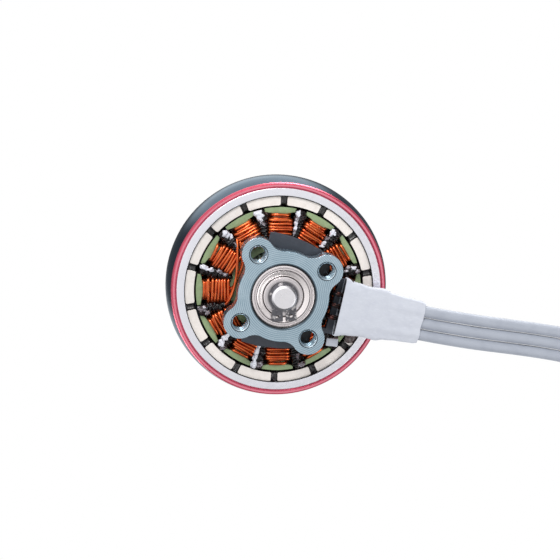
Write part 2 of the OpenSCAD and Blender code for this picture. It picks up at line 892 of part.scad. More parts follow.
module upper_washer() {
    color(steel)
    translate([0, 0, upper_bearing_z + bearing_w])
        ring_solid(shaft_r + fit, shaft_r + washer_w, upper_washer_t);
}

echo(least_winding_gap = least_gap(winding_path, loop_points - 1, wire_d));
for (i = [-1:1])
    echo(least_lead_coil_gap = least_gap(coil_path(i), ceil(coil_steps / 2), lead_d));

base_mount();
lower() outer_race();  // lower_bearing_outer_race
lower() inner_race();  // lower_bearing_inner_race
lower() balls();  // lower_bearing_balls
lower() cage();  // lower_bearing_cage
lower() shields();  // lower_bearing_shields
upper() outer_race();  // upper_bearing_outer_race
upper() inner_race();  // upper_bearing_inner_race
upper() balls();  // upper_bearing_balls
upper() cage();  // upper_bearing_cage
upper() shields();  // upper_bearing_shields
stator_core();
stator_coating();
insulating_plate();
for (i = [0:tooth_count - 1])
    winding(i);
phase_tails();
lead_roots();
lead_sleeve();
for (i = [0:len(lead_names) - 1]) {
    lead(i - 1);
    lead_coil(i - 1);
    lead_tip(i - 1);
}
bell();
flux_ring();
for (i = [0:magnet_count - 1])
    magnet(i);
shaft();
retaining_clip();
lower_washer();
upper_washer();
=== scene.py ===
import contextlib
import random
from math import ceil, copysign, cos, hypot, pi, radians, sin, sqrt, tan

import bmesh
import bpy
from mathutils import Matrix, Vector, noise


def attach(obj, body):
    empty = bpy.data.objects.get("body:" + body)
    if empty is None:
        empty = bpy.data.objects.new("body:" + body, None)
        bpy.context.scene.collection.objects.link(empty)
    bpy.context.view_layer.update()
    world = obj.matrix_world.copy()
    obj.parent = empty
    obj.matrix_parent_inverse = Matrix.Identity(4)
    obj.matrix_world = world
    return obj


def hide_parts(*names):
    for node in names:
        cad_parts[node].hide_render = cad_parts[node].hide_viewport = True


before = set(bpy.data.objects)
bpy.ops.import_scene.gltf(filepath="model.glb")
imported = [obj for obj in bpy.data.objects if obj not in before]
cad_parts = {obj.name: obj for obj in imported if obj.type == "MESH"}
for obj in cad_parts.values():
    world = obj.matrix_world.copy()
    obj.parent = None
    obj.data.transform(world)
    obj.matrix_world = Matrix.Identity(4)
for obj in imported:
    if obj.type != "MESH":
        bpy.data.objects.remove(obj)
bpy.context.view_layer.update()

# Outrunner motor, seen on its mounting face. Sizes are in millimetres and angles in degrees
MM = 0.001
STATOR = "stator"
ROTOR = "rotor"
BOLT_R = 8

scene = bpy.context.scene
scene.view_settings.view_transform = "Standard"


def placed(name, data):
    """A new object in the scene."""
    made = bpy.data.objects.new(name, data)
    scene.collection.objects.link(made)
    return made


# ---- camera
# The photograph looks at the mounting face, 14 degrees off the shaft
CAMERA_AT = Vector((-43.03, -40.42, -242.94))
CAMERA_RIGHT = Vector((0.95747, -0.26058, -0.12387))
CAMERA_DOWN = Vector((0.23500, 0.95341, -0.18913))
CAMERA_FORWARD = Vector((0.16738, 0.15198, 0.97411))
CAMERA_LENS = 101.02
SENSOR = 36
CAMERA_REACH = (10, 20000)

view = bpy.data.cameras.new("camera")
view.lens = CAMERA_LENS
view.sensor_width = SENSOR
view.clip_start, view.clip_end = (reach * MM for reach in CAMERA_REACH)
scene.camera = placed("camera", view)
axes = Matrix((CAMERA_RIGHT, -CAMERA_DOWN, -CAMERA_FORWARD)).transposed()
scene.camera.matrix_world = Matrix.Translation(CAMERA_AT * MM) @ axes.to_4x4()


# ---- materials
def srgb(*values):
    """A linear colour from 0 to 255 sRGB values."""
    shares = [v / 255 for v in values]
    return (*(v / 12.92 if v <= 0.04045 else ((v + 0.055) / 1.055) ** 2.4 for v in shares), 1)


def add_node(tree, kind, inputs=None, **settings):
    """A new shader node. An input, named or numbered, gets a value or a link from a socket."""
    node = tree.nodes.new("ShaderNode" + kind)
    for key, value in settings.items():
        setattr(node, key, value)
    for key, value in (inputs or {}).items():
        if isinstance(value, bpy.types.NodeSocket):
            tree.links.new(value, node.inputs[key])
        else:
            node.inputs[key].default_value = value
    return node


class Finish:
    """A procedural material: a shader whose colour, roughness and relief follow patterns.

    A pattern is a socket, or the size of a cloud, or a cloud's size, detail and stretch.
    """

    def __init__(self, name, colour, roughness, metallic=0.0, **others):
        self.material = bpy.data.materials.new(name)
        self.material.use_nodes = True
        self.material.diffuse_color = colour
        self.tree = self.material.node_tree
        self.sockets = self.tree.nodes["Principled BSDF"].inputs
        values = {"Base Color": colour, "Roughness": roughness, "Metallic": metallic, **others}
        for key, value in values.items():
            self.sockets[key.replace("_", " ")].default_value = value
        self.place = self.node("TexCoord").outputs["Object"]

    def node(self, kind, inputs=None, **settings):
        return add_node(self.tree, kind, inputs, **settings)

    def cloud(self, size, detail=4.0, stretch=(1, 1, 1)):
        """Noise whose features are about size across."""
        place = self.node("Mapping", {"Vector": self.place, "Scale": stretch}).outputs["Vector"]
        inputs = {"Vector": place, "Scale": 1 / (size * MM), "Detail": detail, "Roughness": 0.6}
        return self.node("TexNoise", inputs).outputs["Fac"]

    def ridges(self, pitch, kind="RINGS"):
        """Even lines, pitch apart: rings about the shaft or bands along it."""
        radians_per_unit = 20
        inputs = {"Vector": self.place, "Scale": 2 * pi / radians_per_unit / (pitch * MM)}
        ways = {"wave_type": kind, "rings_direction": "Z", "bands_direction": "Z"}
        return self.node("TexWave", inputs, **ways).outputs["Fac"]

    def pattern(self, what):
        if isinstance(what, bpy.types.NodeSocket):
            return what
        return self.cloud(*what) if isinstance(what, tuple) else self.cloud(what)

    def ramp(self, what, low, high, low_value, high_value):
        inputs = dict(enumerate((self.pattern(what), low, high, low_value, high_value)))
        return self.node("MapRange", inputs).outputs["Result"]

    def mottle(self, what, other, low=0.35, high=0.65, strength=1.0):
        """Mixes another colour into the base colour where the pattern is high."""
        base = self.sockets["Base Color"]
        before = base.links[0].from_socket if base.is_linked else tuple(base.default_value)
        share = self.ramp(what, low, high, 0, strength)
        mix = self.node("Mix", {"Factor": share, "A": before, "B": other}, data_type="RGBA")
        self.tree.links.new(mix.outputs["Result"], base)
        return self

    def ringed(self, radius, width, other, strength, across=0):
        """Draws rings in another colour: four, at plus and minus across in x and y, or one."""
        at = self.place
        to_first = (across * MM, across * MM, 0)
        steps = {"ABSOLUTE": (0, 0, 0), "SUBTRACT": to_first, "MULTIPLY": (1, 1, 0)}
        for operation, value in steps.items():
            at = self.node("VectorMath", {0: at, 1: value}, operation=operation).outputs["Vector"]
        far = self.node("VectorMath", {0: at}, operation="LENGTH").outputs["Value"]
        inputs = {0: far, 1: radius * MM, 2: width / 2 * MM}
        on = self.node("Math", inputs, operation="COMPARE").outputs["Value"]
        return self.mottle(on, other, 0, 1, strength)

    def worn(self, what, low_value, high_value):
        """Roughness that follows the pattern between two values."""
        rough = self.ramp(what, 0.3, 0.7, low_value, high_value)
        self.tree.links.new(rough, self.sockets["Roughness"])
        return self

    def bump(self, what, depth):
        """Adds relief, as high as depth."""
        normal = self.sockets["Normal"]
        inputs = {"Height": self.pattern(what), "Strength": 1, "Distance": depth * MM}
        if normal.is_linked:
            inputs["Normal"] = normal.links[0].from_socket
        self.tree.links.new(self.node("Bump", inputs).outputs["Normal"], normal)
        return self


def turned_metal(name, colour, roughness, pitch=0.09, darker=0.9, shade_rings=()):
    """Metal off a lathe: fine rings about the shaft, slight stains, and rings of painted shade
    where gaps, grooves and shadows fall.
    """
    depth = 0.001
    stain = tuple(darker * c for c in colour[:3]) + (1,)
    finish = Finish(name, colour, roughness, 1).mottle(2.5, stain, 0.4, 0.75, 0.8)
    # Painted shade: each ring darkens the metal where a gap, a groove or a shadow lies.
    for radius, width, strength in shade_rings:
        finish.ringed(radius, width, srgb(84, 84, 90), strength)
    finish.worn(0.6, roughness * 0.8, roughness * 1.25)
    return finish.bump(finish.ridges(pitch), depth).bump(0.2, depth * 0.6)


def make_looks():
    """Every finish by its short name."""
    holes = BOLT_R / sqrt(2)
    made = {
        # The dark rings on the races and shields are painted shade in the gaps and grooves between
        # them.
        "race": turned_metal(
            "bearing_steel", srgb(236, 229, 230), 0.22, darker=0.95, shade_rings=((4.58, 0.07, 0.8),)
        ),
        "shield": turned_metal(
            "shield_steel", srgb(240, 233, 233), 0.26, pitch=0.14, darker=0.95,
            shade_rings=((4.22, 0.09, 0.7), (3.34, 0.08, 0.6)),
        ),
        # The washer's dark rings are the clip's shadow, painted on.
        "washer": turned_metal(
            "washer_steel", srgb(222, 216, 218), 0.3,
            shade_rings=((2.3, 0.36, 0.75), (2.56, 0.16, 0.35)),
        ),
        "shaft": turned_metal("shaft_steel", srgb(242, 240, 244), 0.3, darker=0.97),
        "flux": turned_metal("flux_ring_steel", srgb(244, 244, 252), 0.3, pitch=0.2, darker=0.95),
        "ball": Finish("ball_steel", srgb(205, 205, 210), 0.12, 1).worn(0.4, 0.1, 0.16),
        "cage": Finish("cage_brass", srgb(188, 150, 84), 0.35, 1)
        .mottle(0.5, srgb(150, 112, 62))
        .bump(0.1, 0.004),
        "coating": Finish("green_coating", srgb(148, 168, 124), 0.4, Specular_IOR_Level=0.55)
        .mottle(0.9, srgb(166, 188, 142), 0.5, 0.8, 0.8)
        .mottle(0.25, srgb(112, 138, 90), 0.52, 0.8, 0.6)
        .bump((0.5, 2), 0.03)
        .bump(0.07, 0.006),
        "board": Finish("dark_board", srgb(56, 60, 69), 0.42)
        .mottle(1.4, srgb(68, 72, 82), 0.45, 0.75, 0.7)
        # Painted shade: a dark disc on the board behind each bolt hole, where the holes lie in
        # shadow.
        .ringed(0.75, 1.5, srgb(18, 18, 20), 0.9, across=holes)
        .worn(0.4, 0.34, 0.52)
        .bump(0.09, 0.006),
        "copper": Finish("copper_wire", srgb(216, 104, 50), 0.24, 0.9, Coat_Weight=0.35)
        .mottle((1.6, 1), srgb(190, 74, 30), 0.4, 0.65, 0.8)
        .worn((0.8, 1), 0.18, 0.27)
        .bump((0.5, 1), 0.008),
        # Copper of the winding ends, darkened as painted shade where they lie in the plate's
        # window.
        "dark_wire": Finish("tail_wire_painted_shade", srgb(74, 28, 20), 0.2, 0.7, Coat_Weight=0.2)
        .mottle((0.6, 2), srgb(20, 13, 14), 0.4, 0.52)
        .bump(0.15, 0.01),
        "silicone": Finish("lead_silicone", srgb(170, 175, 185), 0.5, Sheen_Weight=0.1)
        .mottle(3, srgb(159, 164, 175), 0.45, 0.7, 0.8)
        .worn(0.8, 0.42, 0.6)
        .bump(0.14, 0.008),
        "sleeve": Finish("white_sleeve", srgb(203, 206, 214), 0.75, Sheen_Weight=0.2)
        .mottle(1.6, srgb(194, 197, 207), 0.45, 0.75, 0.7)
        .mottle((0.35, 4, (0.4, 1, 1)), srgb(220, 222, 230), 0.5, 0.8, 0.5)
        .bump(0.5, 0.02)
        .bump((0.12, 4, (0.5, 1, 1)), 0.012),
        "tin": Finish("tinned_copper", srgb(208, 208, 212), 0.28, 1)
        .mottle(0.4, srgb(180, 178, 180))
        .bump(0.15, 0.012),
        "magnet": Finish("magnet_plating", srgb(246, 238, 231), 0.5, 0.1)
        .mottle(0.8, srgb(234, 225, 217), 0.45, 0.75, 0.8)
        .mottle(0.16, srgb(220, 209, 200), 0.6, 0.8, 0.6)
        .bump(0.09, 0.01),
        "magnet_side": Finish("magnet_side", srgb(52, 48, 48), 0.4, 0.5)
        .mottle(0.6, srgb(84, 76, 72))
        .bump(0.1, 0.01),
        # Dark glue between the magnets and at the flux ring; the same finish is painted shade on
        # the ring at the bearing seat.
        "glue_and_shade": Finish("dark_glue_and_shade", srgb(26, 24, 26), 0.24, Coat_Weight=0.3)
        .mottle(0.6, srgb(58, 50, 50), 0.5, 0.75, 0.8)
        .bump(0.4, 0.08),
        "resin": Finish(
            "slot_resin", srgb(14, 11, 13), 0.16, Specular_IOR_Level=0.3, Coat_Weight=0.1
        )
        .mottle((0.7, 2), srgb(48, 28, 34), 0.5, 0.75, 0.8)
        .bump((0.45, 2), 0.1)
        .bump((0.16, 2), 0.02),
        # White and grey patches stand for reflections on the glossy resin: painted highlights,
        # with painted glints speckled on the grey ones.
        "resin_highlights": Finish("white_painted_highlight", srgb(240, 240, 248), 0.3, Coat_Weight=0.2)
        .mottle((0.7, 2), srgb(168, 162, 172), 0.58, 0.68, 0.8)
        .bump((0.5, 2), 0.04),
        "grey_painted_sheen": Finish("grey_painted_sheen", srgb(128, 118, 124), 0.22, Coat_Weight=0.3)
        .mottle((0.6, 1), srgb(206, 204, 212), 0.54, 0.6, 0.9)
        .mottle((0.5, 1), srgb(40, 28, 32), 0.52, 0.6, 0.9)
        .bump((0.4, 1), 0.04),
        "residue": Finish("varnish_residue", srgb(92, 78, 78), 0.3, Coat_Weight=0.2)
        .mottle((0.4, 2), srgb(60, 48, 48), 0.45, 0.65, 0.9)
        .bump((0.3, 2), 0.05),
        "clip": Finish("spring_steel", srgb(104, 103, 108), 0.34, 0.85)
        .mottle(0.5, srgb(86, 85, 90), 0.4, 0.7, 0.9)
        # Light patches on the clip are painted reflections.
        .mottle((0.9, 2), srgb(196, 192, 192), 0.56, 0.6, 0.9)
        .bump(0.12, 0.008),
        "tie": Finish("tie_strap", srgb(60, 62, 70), 0.6, Sheen_Weight=0.2)
        .mottle(0.4, srgb(44, 46, 54))
        .bump(0.12, 0.03),
    }

    made["base"] = base = Finish("base_aluminium", srgb(184, 204, 216), 0.26, 0.9)
    base.mottle(base.ridges(0.31), srgb(132, 158, 174), 0.25, 0.75, 0.75)
    base.mottle(3, srgb(194, 212, 224), 0.45, 0.7, 0.5)
    # Painted light round the bolt holes and the bearing seat: a highlight on each hole's chamfer,
    # a shade line round its mouth, shadow round the bearing and shade on the seat's chamfer.
    base.ringed(1.33, 0.16, srgb(214, 228, 236), 0.8, across=holes)
    base.ringed(1.48, 0.14, srgb(34, 44, 54), 0.95, across=holes)
    base.ringed(5.18, 0.34, srgb(30, 38, 46), 0.9)
    base.ringed(5.42, 0.14, srgb(72, 90, 104), 0.55)
    base.worn(0.5, 0.22, 0.3)
    base.bump(base.ridges(0.31), 0.002)

    made["stack"] = stack = Finish("stack_steel", srgb(120, 116, 116), 0.42, 0.9)
    stack.mottle(0.7, srgb(84, 70, 62), 0.45, 0.75, 0.8)
    stack.bump(stack.ridges(0.2, "BANDS"), 0.03).bump(0.1, 0.006)

    tint = (0.78, 0.91, 1, 1)
    made["bell"] = bell = Finish("bell_aluminium", srgb(60, 68, 82), 0.2, 0.75, Specular_Tint=tint)
    bell.mottle((5, 2), srgb(52, 60, 72), 0.4, 0.7, 0.7)
    bell.worn((1.5, 2), 0.17, 0.23)
    bell.bump(bell.ridges(0.2), 0.001)

    made["rim"] = rim = Finish("rim_red", srgb(214, 88, 110), 0.3, 0.55)
    rim.mottle(1.2, srgb(200, 76, 98), 0.4, 0.75, 0.7)
    # Painted light on the rim's cut: shade on its inner chamfer, a highlight on its flat face and
    # a shade line at its outer edge.
    rim.ringed(16.88, 0.12, srgb(184, 74, 96), 0.7)
    rim.ringed(17.14, 0.24, srgb(236, 148, 164), 0.75)
    rim.ringed(17.47, 0.1, srgb(190, 66, 90), 0.6)
    rim.worn(0.4, 0.25, 0.37)
    rim.bump(rim.ridges(0.11), 0.002)
    return {key: finish.material for key, finish in made.items()}


LOOKS = make_looks()


# ---- shapes
@contextlib.contextmanager
def edited(mesh):
    """The mesh, open for work on its points and faces."""
    work = bmesh.new()
    work.from_mesh(mesh)
    yield work
    work.to_mesh(mesh)
    work.free()


def polar(r, degrees, z=0.0):
    turn = radians(degrees)
    return Vector((r * cos(turn), r * sin(turn), z))


def turned(p, degrees):
    return Matrix.Rotation(radians(degrees), 3, "Z") @ Vector(p)


def around_each(rows, around, closed=False):
    """The faces between rows of points, each a loop, and from the last to the first if closed."""
    return [
        (
            i * around + k, i * around + (k + 1) % around,
            (i + 1) % rows * around + (k + 1) % around, (i + 1) % rows * around + k,
        )
        for i in range(rows - 1 + closed)
        for k in range(around)
    ]


def bar_faces(around):
    """The faces of a bar between two loops: both ends, then the sides."""
    ends = [tuple(reversed(range(around))), tuple(range(around, 2 * around))]
    return ends + around_each(2, around)


class Shape:
    """Points and faces, gathered into one piece."""

    def __init__(self):
        self.points = []
        self.faces = []
        self.marks = []

    def add(self, points, faces, mark=0):
        """Adds faces, whose mark says which of the piece's materials they have."""
        first = len(self.points)
        self.points += [Vector(p) for p in points]
        self.faces += [[first + i for i in f] for f in faces]
        self.marks += [mark] * len(faces)

    def tube(self, path, radius, sides=8):
        """A closed round bar along a path."""
        points, normal = [], None
        for i, at in enumerate(path):
            way = (path[min(i + 1, len(path) - 1)] - path[max(i - 1, 0)]).normalized()
            if normal is None:
                normal = way.orthogonal()
            normal = (normal - way * normal.dot(way)).normalized()
            across = way.cross(normal)
            for k in range(sides):
                turn = 2 * pi * k / sides
                points.append(at + radius * (cos(turn) * normal + sin(turn) * across))
        ends = [list(range(sides - 1, -1, -1)), list(range(len(points) - sides, len(points)))]
        self.add(points, around_each(len(path), sides) + ends)

    def piece(self, name, *looks, sharp=None):
        """The finished object. Edges sharper than the given angle stay crisp."""
        mesh = bpy.data.meshes.new(name)
        mesh.from_pydata([p * MM for p in self.points], [], self.faces)
        for look in looks:
            mesh.materials.append(LOOKS[look])
        mesh.polygons.foreach_set("material_index", self.marks)
        with edited(mesh) as work:
            bmesh.ops.recalc_face_normals(work, faces=work.faces)
        mesh.shade_smooth()
        if sharp:
            mesh.set_sharp_from_angle(angle=radians(sharp))
        return placed(name, mesh)


def lathed(name, look, steps, *profiles, sharp=None):
    """A piece of closed rings about the shaft. A profile is a loop of (radius, height)."""
    shape = Shape()
    for profile in profiles:
        points = [polar(r, 360 * j / steps, z) for j in range(steps) for r, z in profile]
        shape.add(points, around_each(steps, len(profile), closed=True))
    return shape.piece(name, look, sharp=sharp)


def eased(piece, width, angle=32, segments=2):
    """Rounds a piece's sharp edges, as wide as width, and evens its shading."""
    bevel = piece.modifiers.new("eased", "BEVEL")
    bevel.width = width * MM
    bevel.segments = segments
    bevel.limit_method = "ANGLE"
    bevel.angle_limit = radians(angle)
    normals = piece.modifiers.new("normals", "WEIGHTED_NORMAL")
    normals.keep_sharp = True


def copied(name, node, look):
    """A piece with a CAD node's shape, welded so that its edges can be eased."""
    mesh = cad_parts[node].data.copy()
    mesh.name = name
    with edited(mesh) as work:
        bmesh.ops.remove_doubles(work, verts=work.verts, dist=0.001 * MM)
        flat = radians(0.5)
        bmesh.ops.dissolve_limit(work, angle_limit=flat, verts=work.verts, edges=work.edges)
    mesh.materials.clear()
    mesh.materials.append(LOOKS[look])
    mesh.shade_smooth()
    return placed(name, mesh)


def settle(piece, body, slot, *nodes):
    """Puts a finished piece on its body, in place of the CAD nodes that it stands for."""
    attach(piece, body)
    if nodes:
        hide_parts(*nodes)


def refined(name, node, look, body, slot, width, **ways):
    """A CAD node's own shape, with eased edges, in its place."""
    piece = copied(name, node, look)
    eased(piece, width, **ways)
    settle(piece, body, slot, node)


def keep(node, look):
    """A CAD node that stays gets its material."""
    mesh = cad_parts[node].data
    mesh.materials.clear()
    mesh.materials.append(LOOKS[look])


# ---- leads
LEAD_ANGLE = -2.4
LEAD_D = 1.9
LEAD_PITCH = 1.95
LEAD_Z = 1.5
SLEEVE_X = 9.5
SLEEVE_END_X = 23.2
LEAD_STRAIGHT = 2
LEAD_POINTS = [
    (27.5, -1.22, 1.4), (30, -1.43, 1.27), (32.5, -1.67, 1.13), (35, -1.95, 1.04),
    (38, -2.29, 1), (41, -2.61, 1), (44, -2.88, 1), (47, -3.09, 1), (50, -3.22, 1),
    (53, -3.29, 1), (56, -3.3, 1), (58.5, -3.3, 1), (60.5, -3.3, 1),
]
LEAD_SPACINGS = [1.96, 1.97, 1.97, 1.97, 1.96, 1.96, 1.96, 1.97, 1.98, 1.99, 2, 2, 2]
COIL_MID_R = 11.2
COIL_PITCH = 2
COIL_LAYER_H = 2.4
COIL_LEN = 92
COIL_STEPS = 24
CLIMB_FROM = 200
CLIMB_TO = 305
COIL_START = Vector(LEAD_POINTS[-1])
COIL_CENTRE = Vector((COIL_START.x, COIL_START.y - COIL_MID_R, 0))
TIP_LEN = 5
TIP_D = 1.1
LEADS = {"a": -1, "b": 0, "c": 1}
UP = Vector((0, 0, 1))


def coil_place(side, turn):
    """A point of a lead's coil, turn degrees after its start."""
    r = COIL_MID_R + side * COIL_PITCH
    share = max(0, min(1, (turn - CLIMB_FROM) / (CLIMB_TO - CLIMB_FROM)))
    climbed = COIL_LAYER_H * (1 - cos(pi * share)) / 2
    angle = radians(turn)
    around = Vector((r * sin(angle), r * cos(angle), COIL_START.z + climbed))
    return COIL_CENTRE + around


def lead_route(side):
    """A lead's centreline: out of the sleeve, along the table and round the coil."""
    start = [
        turned((SLEEVE_END_X + x, side * LEAD_PITCH, LEAD_Z), LEAD_ANGLE)
        for x in (0, LEAD_STRAIGHT)
    ]
    free = [Vector(p) + Vector((0, side * s, 0)) for p, s in zip(LEAD_POINTS, LEAD_SPACINGS)]
    whole = COIL_LEN / (2 * pi * (COIL_MID_R + side * COIL_PITCH)) * 360
    steps = ceil(whole / 360 * COIL_STEPS)
    return start + free + [coil_place(side, whole * k / steps) for k in range(1, steps + 1)]


def make_lead(key, route):
    """The cable, a curve, and the twisted strands of its bare end."""
    curve = bpy.data.curves.new(f"lead_{key}_cable", "CURVE")
    curve.dimensions = "3D"
    curve.bevel_depth = LEAD_D / 2 * MM
    curve.bevel_resolution = 6
    curve.resolution_u = 6
    curve.use_fill_caps = True
    spline = curve.splines.new("BEZIER")
    spline.bezier_points.add(len(route) - 1)
    for knot, point in zip(spline.bezier_points, route):
        knot.co = point * MM
        knot.handle_left_type = knot.handle_right_type = "AUTO"
    curve.materials.append(LOOKS["silicone"])
    cable = placed(f"lead_{key}_cable", curve)
    settle(cable, STATOR, "lead_silicone", f"lead_{key}", f"lead_{key}_coil")

    way = (route[-1] - route[-2]).normalized()
    aside = way.cross(UP)
    outer_strands, steps, twist, rooted, swell = 6, 16, 0.6, 0.2, 1.06
    shape = Shape()
    for s in range(outer_strands + 1):
        off = 0 if s == outer_strands else TIP_D / 3
        path = []
        for k in range(steps + 1):
            turn = 2 * pi * (s / outer_strands + twist * k / steps)
            beside = off * (cos(turn) * aside + sin(turn) * UP)
            path.append(route[-1] + way * (TIP_LEN * (k / steps) - rooted * (k == 0)) + beside)
        shape.tube(path, TIP_D / 6 * swell)
    tip = shape.piece(f"lead_{key}_tinned_end", "tin")
    settle(tip, STATOR, "tinned_copper", f"lead_{key}_tip")
    return cable, tip


def make_tie():
    """A strap round the coil, where both of its layers lie."""
    angle, width, wall, gap, corner_steps = radians(33), 3, 0.09, 0.01, 6
    corner = LEAD_D / 2
    inner = COIL_MID_R - COIL_PITCH
    outer = COIL_MID_R + COIL_PITCH
    low = COIL_START.z
    high = COIL_START.z + COIL_LAYER_H
    loop = []
    for r, z, start in (
        (outer, low, -90), (outer, high, 0), (inner, high, 90), (inner, low, 180),
    ):
        for k in range(corner_steps + 1):
            a = radians(start + 90 * k / corner_steps)
            loop.append((r, z, cos(a), sin(a)))
    out = Vector((sin(angle), cos(angle), 0))
    along = Vector((cos(angle), -sin(angle), 0))
    points = []
    for thick, side in ((gap, -1), (gap, 1), (wall, 1), (wall, -1)):
        reach = corner + thick
        for r, z, c, s in loop:
            middle = COIL_CENTRE + out * (r + c * reach) + UP * (z + s * reach)
            points.append(middle + along * side * width / 2)
    shape = Shape()
    shape.add(points, around_each(4, len(loop), closed=True))
    tie = shape.piece("coil_tie", "tie")
    eased(tie, 0.02)
    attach(tie, STATOR)
    return tie


# ---- sleeve over the leads
SLEEVE_W = 9.7
SLEEVE_H = 2.5
SLEEVE_WALL = 0.2
SLEEVE_PLACES = [0, 0.15, 0.33, 0.49, 0.6, 0.75, 0.94, 1]
SLEEVE_WIDTHS = [1, 0.9, 0.85, 0.88, 0.8, 0.755, 0.73, 0.69]
SLEEVE_HEIGHTS = [1, 0.98, 0.96, 0.98, 0.96, 0.95, 0.95, 0.95]
GRIP_FROM = 0.28
GRIP_OVER = 0.5
RIDGE_H = 0.14
WRINKLE_H = 0.06
RAGGED = 0.16


def between(places, values, at):
    """A smooth value between listed ones."""
    k = next(k for k, place in enumerate(places[1:]) if at <= place)
    share = (at - places[k]) / (places[k + 1] - places[k])
    share = share * share * (3 - 2 * share)
    return values[k] + (values[k + 1] - values[k]) * share


def sleeve_section(half_w, half_h, turn):
    """A point of the sleeve's outline, a rounded box: across and height."""
    c, s = cos(turn), sin(turn)
    return half_w * copysign(abs(c) ** 0.62, c), half_h * copysign(abs(s) ** 0.42, s)


def sleeve_point(at, k, around, wall):
    """A point of the sleeve, which clings to the leads over its last two thirds."""
    half_w = SLEEVE_W / 2 * between(SLEEVE_PLACES, SLEEVE_WIDTHS, at) - wall
    half_h = SLEEVE_H / 2 * between(SLEEVE_PLACES, SLEEVE_HEIGHTS, at) - wall
    turn = 2 * pi * k / around
    y, z = sleeve_section(half_w, half_h, turn)
    s = sin(turn)
    level = min(1, abs(s) * 2)
    grip = max(0, min(1, (at - GRIP_FROM) / GRIP_OVER))
    ridge = 0.5 - 0.5 * cos(2 * pi * (y / LEAD_PITCH + 0.5))
    z -= copysign(RIDGE_H * grip * (1 - ridge), z) * level
    near = 1 if s < 0 else 0.7
    z += WRINKLE_H * noise.noise(Vector((at * 7, y * 0.8, 3.1))) * near * level
    z = max(-SLEEVE_H / 2, min(SLEEVE_H / 2, z))
    x = SLEEVE_X + (SLEEVE_END_X - SLEEVE_X) * at
    if at == 1:
        x += RAGGED * noise.noise(Vector((y * 0.9, s, 7.7)))
    return turned((x, y, LEAD_Z + z), LEAD_ANGLE)


def make_sleeve():
    lengthwise, around = 72, 88
    outer = [(i / lengthwise, 0) for i in range(lengthwise + 1)]
    rows = outer + [(at, SLEEVE_WALL) for at, _ in reversed(outer)]
    points = [sleeve_point(at, k, around, wall) for at, wall in rows for k in range(around)]
    shape = Shape()
    shape.add(points, around_each(len(rows), around, closed=True))
    sleeve = shape.piece("lead_sleeve_cover", "sleeve")
    eased(sleeve, 0.05, angle=50)
    settle(sleeve, STATOR, "white_sleeve", "lead_sleeve")


# ---- winding ends into the sleeve
TAIL_X = 7.975
TAIL_BEND_R = 1.1
TAIL_TOP_Z = 5.1
TAIL_STEP = 0.2
TAIL_DROPS = 12
TAIL_BENDS = 8
TAIL_ENDS_X = (10, 10.6, 11.2, 11.8, 12.5)
TAIL_STRANDS = 5
TAIL_STRAND_R = 0.15
TAIL_LAY_R = 0.26
TAIL_TWIST = 0.13


def make_tails():
    """Three bundles of winding ends that go down through the plate and into the sleeve."""
    shape = Shape()
    for side in (-1, 0, 1):
        y = side * LEAD_PITCH
        spine = [Vector((TAIL_X, y, TAIL_TOP_Z - TAIL_STEP * k)) for k in range(TAIL_DROPS)]
        for k in range(1, TAIL_BENDS + 1):
            a = radians(90 * k / TAIL_BENDS)
            x = TAIL_X + TAIL_BEND_R * (1 - cos(a))
            spine.append(Vector((x, y, LEAD_Z + TAIL_BEND_R * (1 - sin(a)))))
        spine += [Vector((x, y, LEAD_Z)) for x in TAIL_ENDS_X]
        for s in range(TAIL_STRANDS):
            path = []
            for k, at in enumerate(spine):
                way = (spine[min(k + 1, len(spine) - 1)] - spine[max(k - 1, 0)]).normalized()
                across = Vector((0, 1, 0))
                turn = 2 * pi * (s / TAIL_STRANDS) + TAIL_TWIST * k
                off = cos(turn) * across + sin(turn) * way.cross(across)
                path.append(turned(at + TAIL_LAY_R * off, LEAD_ANGLE))
            shape.tube(path, TAIL_STRAND_R)
    tails = shape.piece("phase_tail_strands", "dark_wire")
    settle(tails, STATOR, "copper_wire", "phase_tails")


def lump(centre, size, chance, ragged=0.45):
    """The points and faces of an irregular blob."""
    seed = Vector([chance.uniform(0, 50) for _ in range(3)])
    work = bmesh.new()
    bmesh.ops.create_icosphere(work, subdivisions=3, radius=1)
    points = []
    for v in work.verts:
        rough = noise.noise(v.co * 1.4 + seed) + 0.3 * noise.noise(v.co * 3.2 + seed)
        spread = Vector([a * b for a, b in zip(v.co, size)])
        points.append(centre + spread * (1 + ragged * rough))
    faces = [[v.index for v in f.verts] for f in work.faces]
    work.free()
    return points, faces


def make_tail_shade():
    """Dark lumps round the winding ends, behind the plate's window, and a dark plug in the
    sleeve's mouth: both painted shade, put where these hollows lie in shadow. They have the slot
    resin's finish.
    """
    chance = random.Random(23)
    count = 10
    shape = Shape()
    for k in range(count):
        x = 7.75 + chance.uniform(-0.2, 0.2)
        at = Vector((x, 0.82 * (k - (count - 1) / 2), 4.7 + chance.uniform(-0.1, 0.1)))
        points, faces = lump(at, (0.8, 0.6, 0.55), chance)
        shape.add([turned(p, LEAD_ANGLE) for p in points], faces)
    # A dark plug in the sleeve's mouth: painted shade inside the opening.
    around = 48
    into_wall = SLEEVE_WALL * 0.7
    points = []
    for x in (SLEEVE_X + 0.03, SLEEVE_X + 1.2):
        for k in range(around):
            turn = 2 * pi * k / around
            y, z = sleeve_section(SLEEVE_W / 2 - into_wall, SLEEVE_H / 2 - into_wall, turn)
            points.append(turned((x, y, LEAD_Z + z), LEAD_ANGLE))
    shape.add(points, bar_faces(around))
    settle(shape.piece("tail_shade_lumps", "resin"), STATOR, "dark_board")


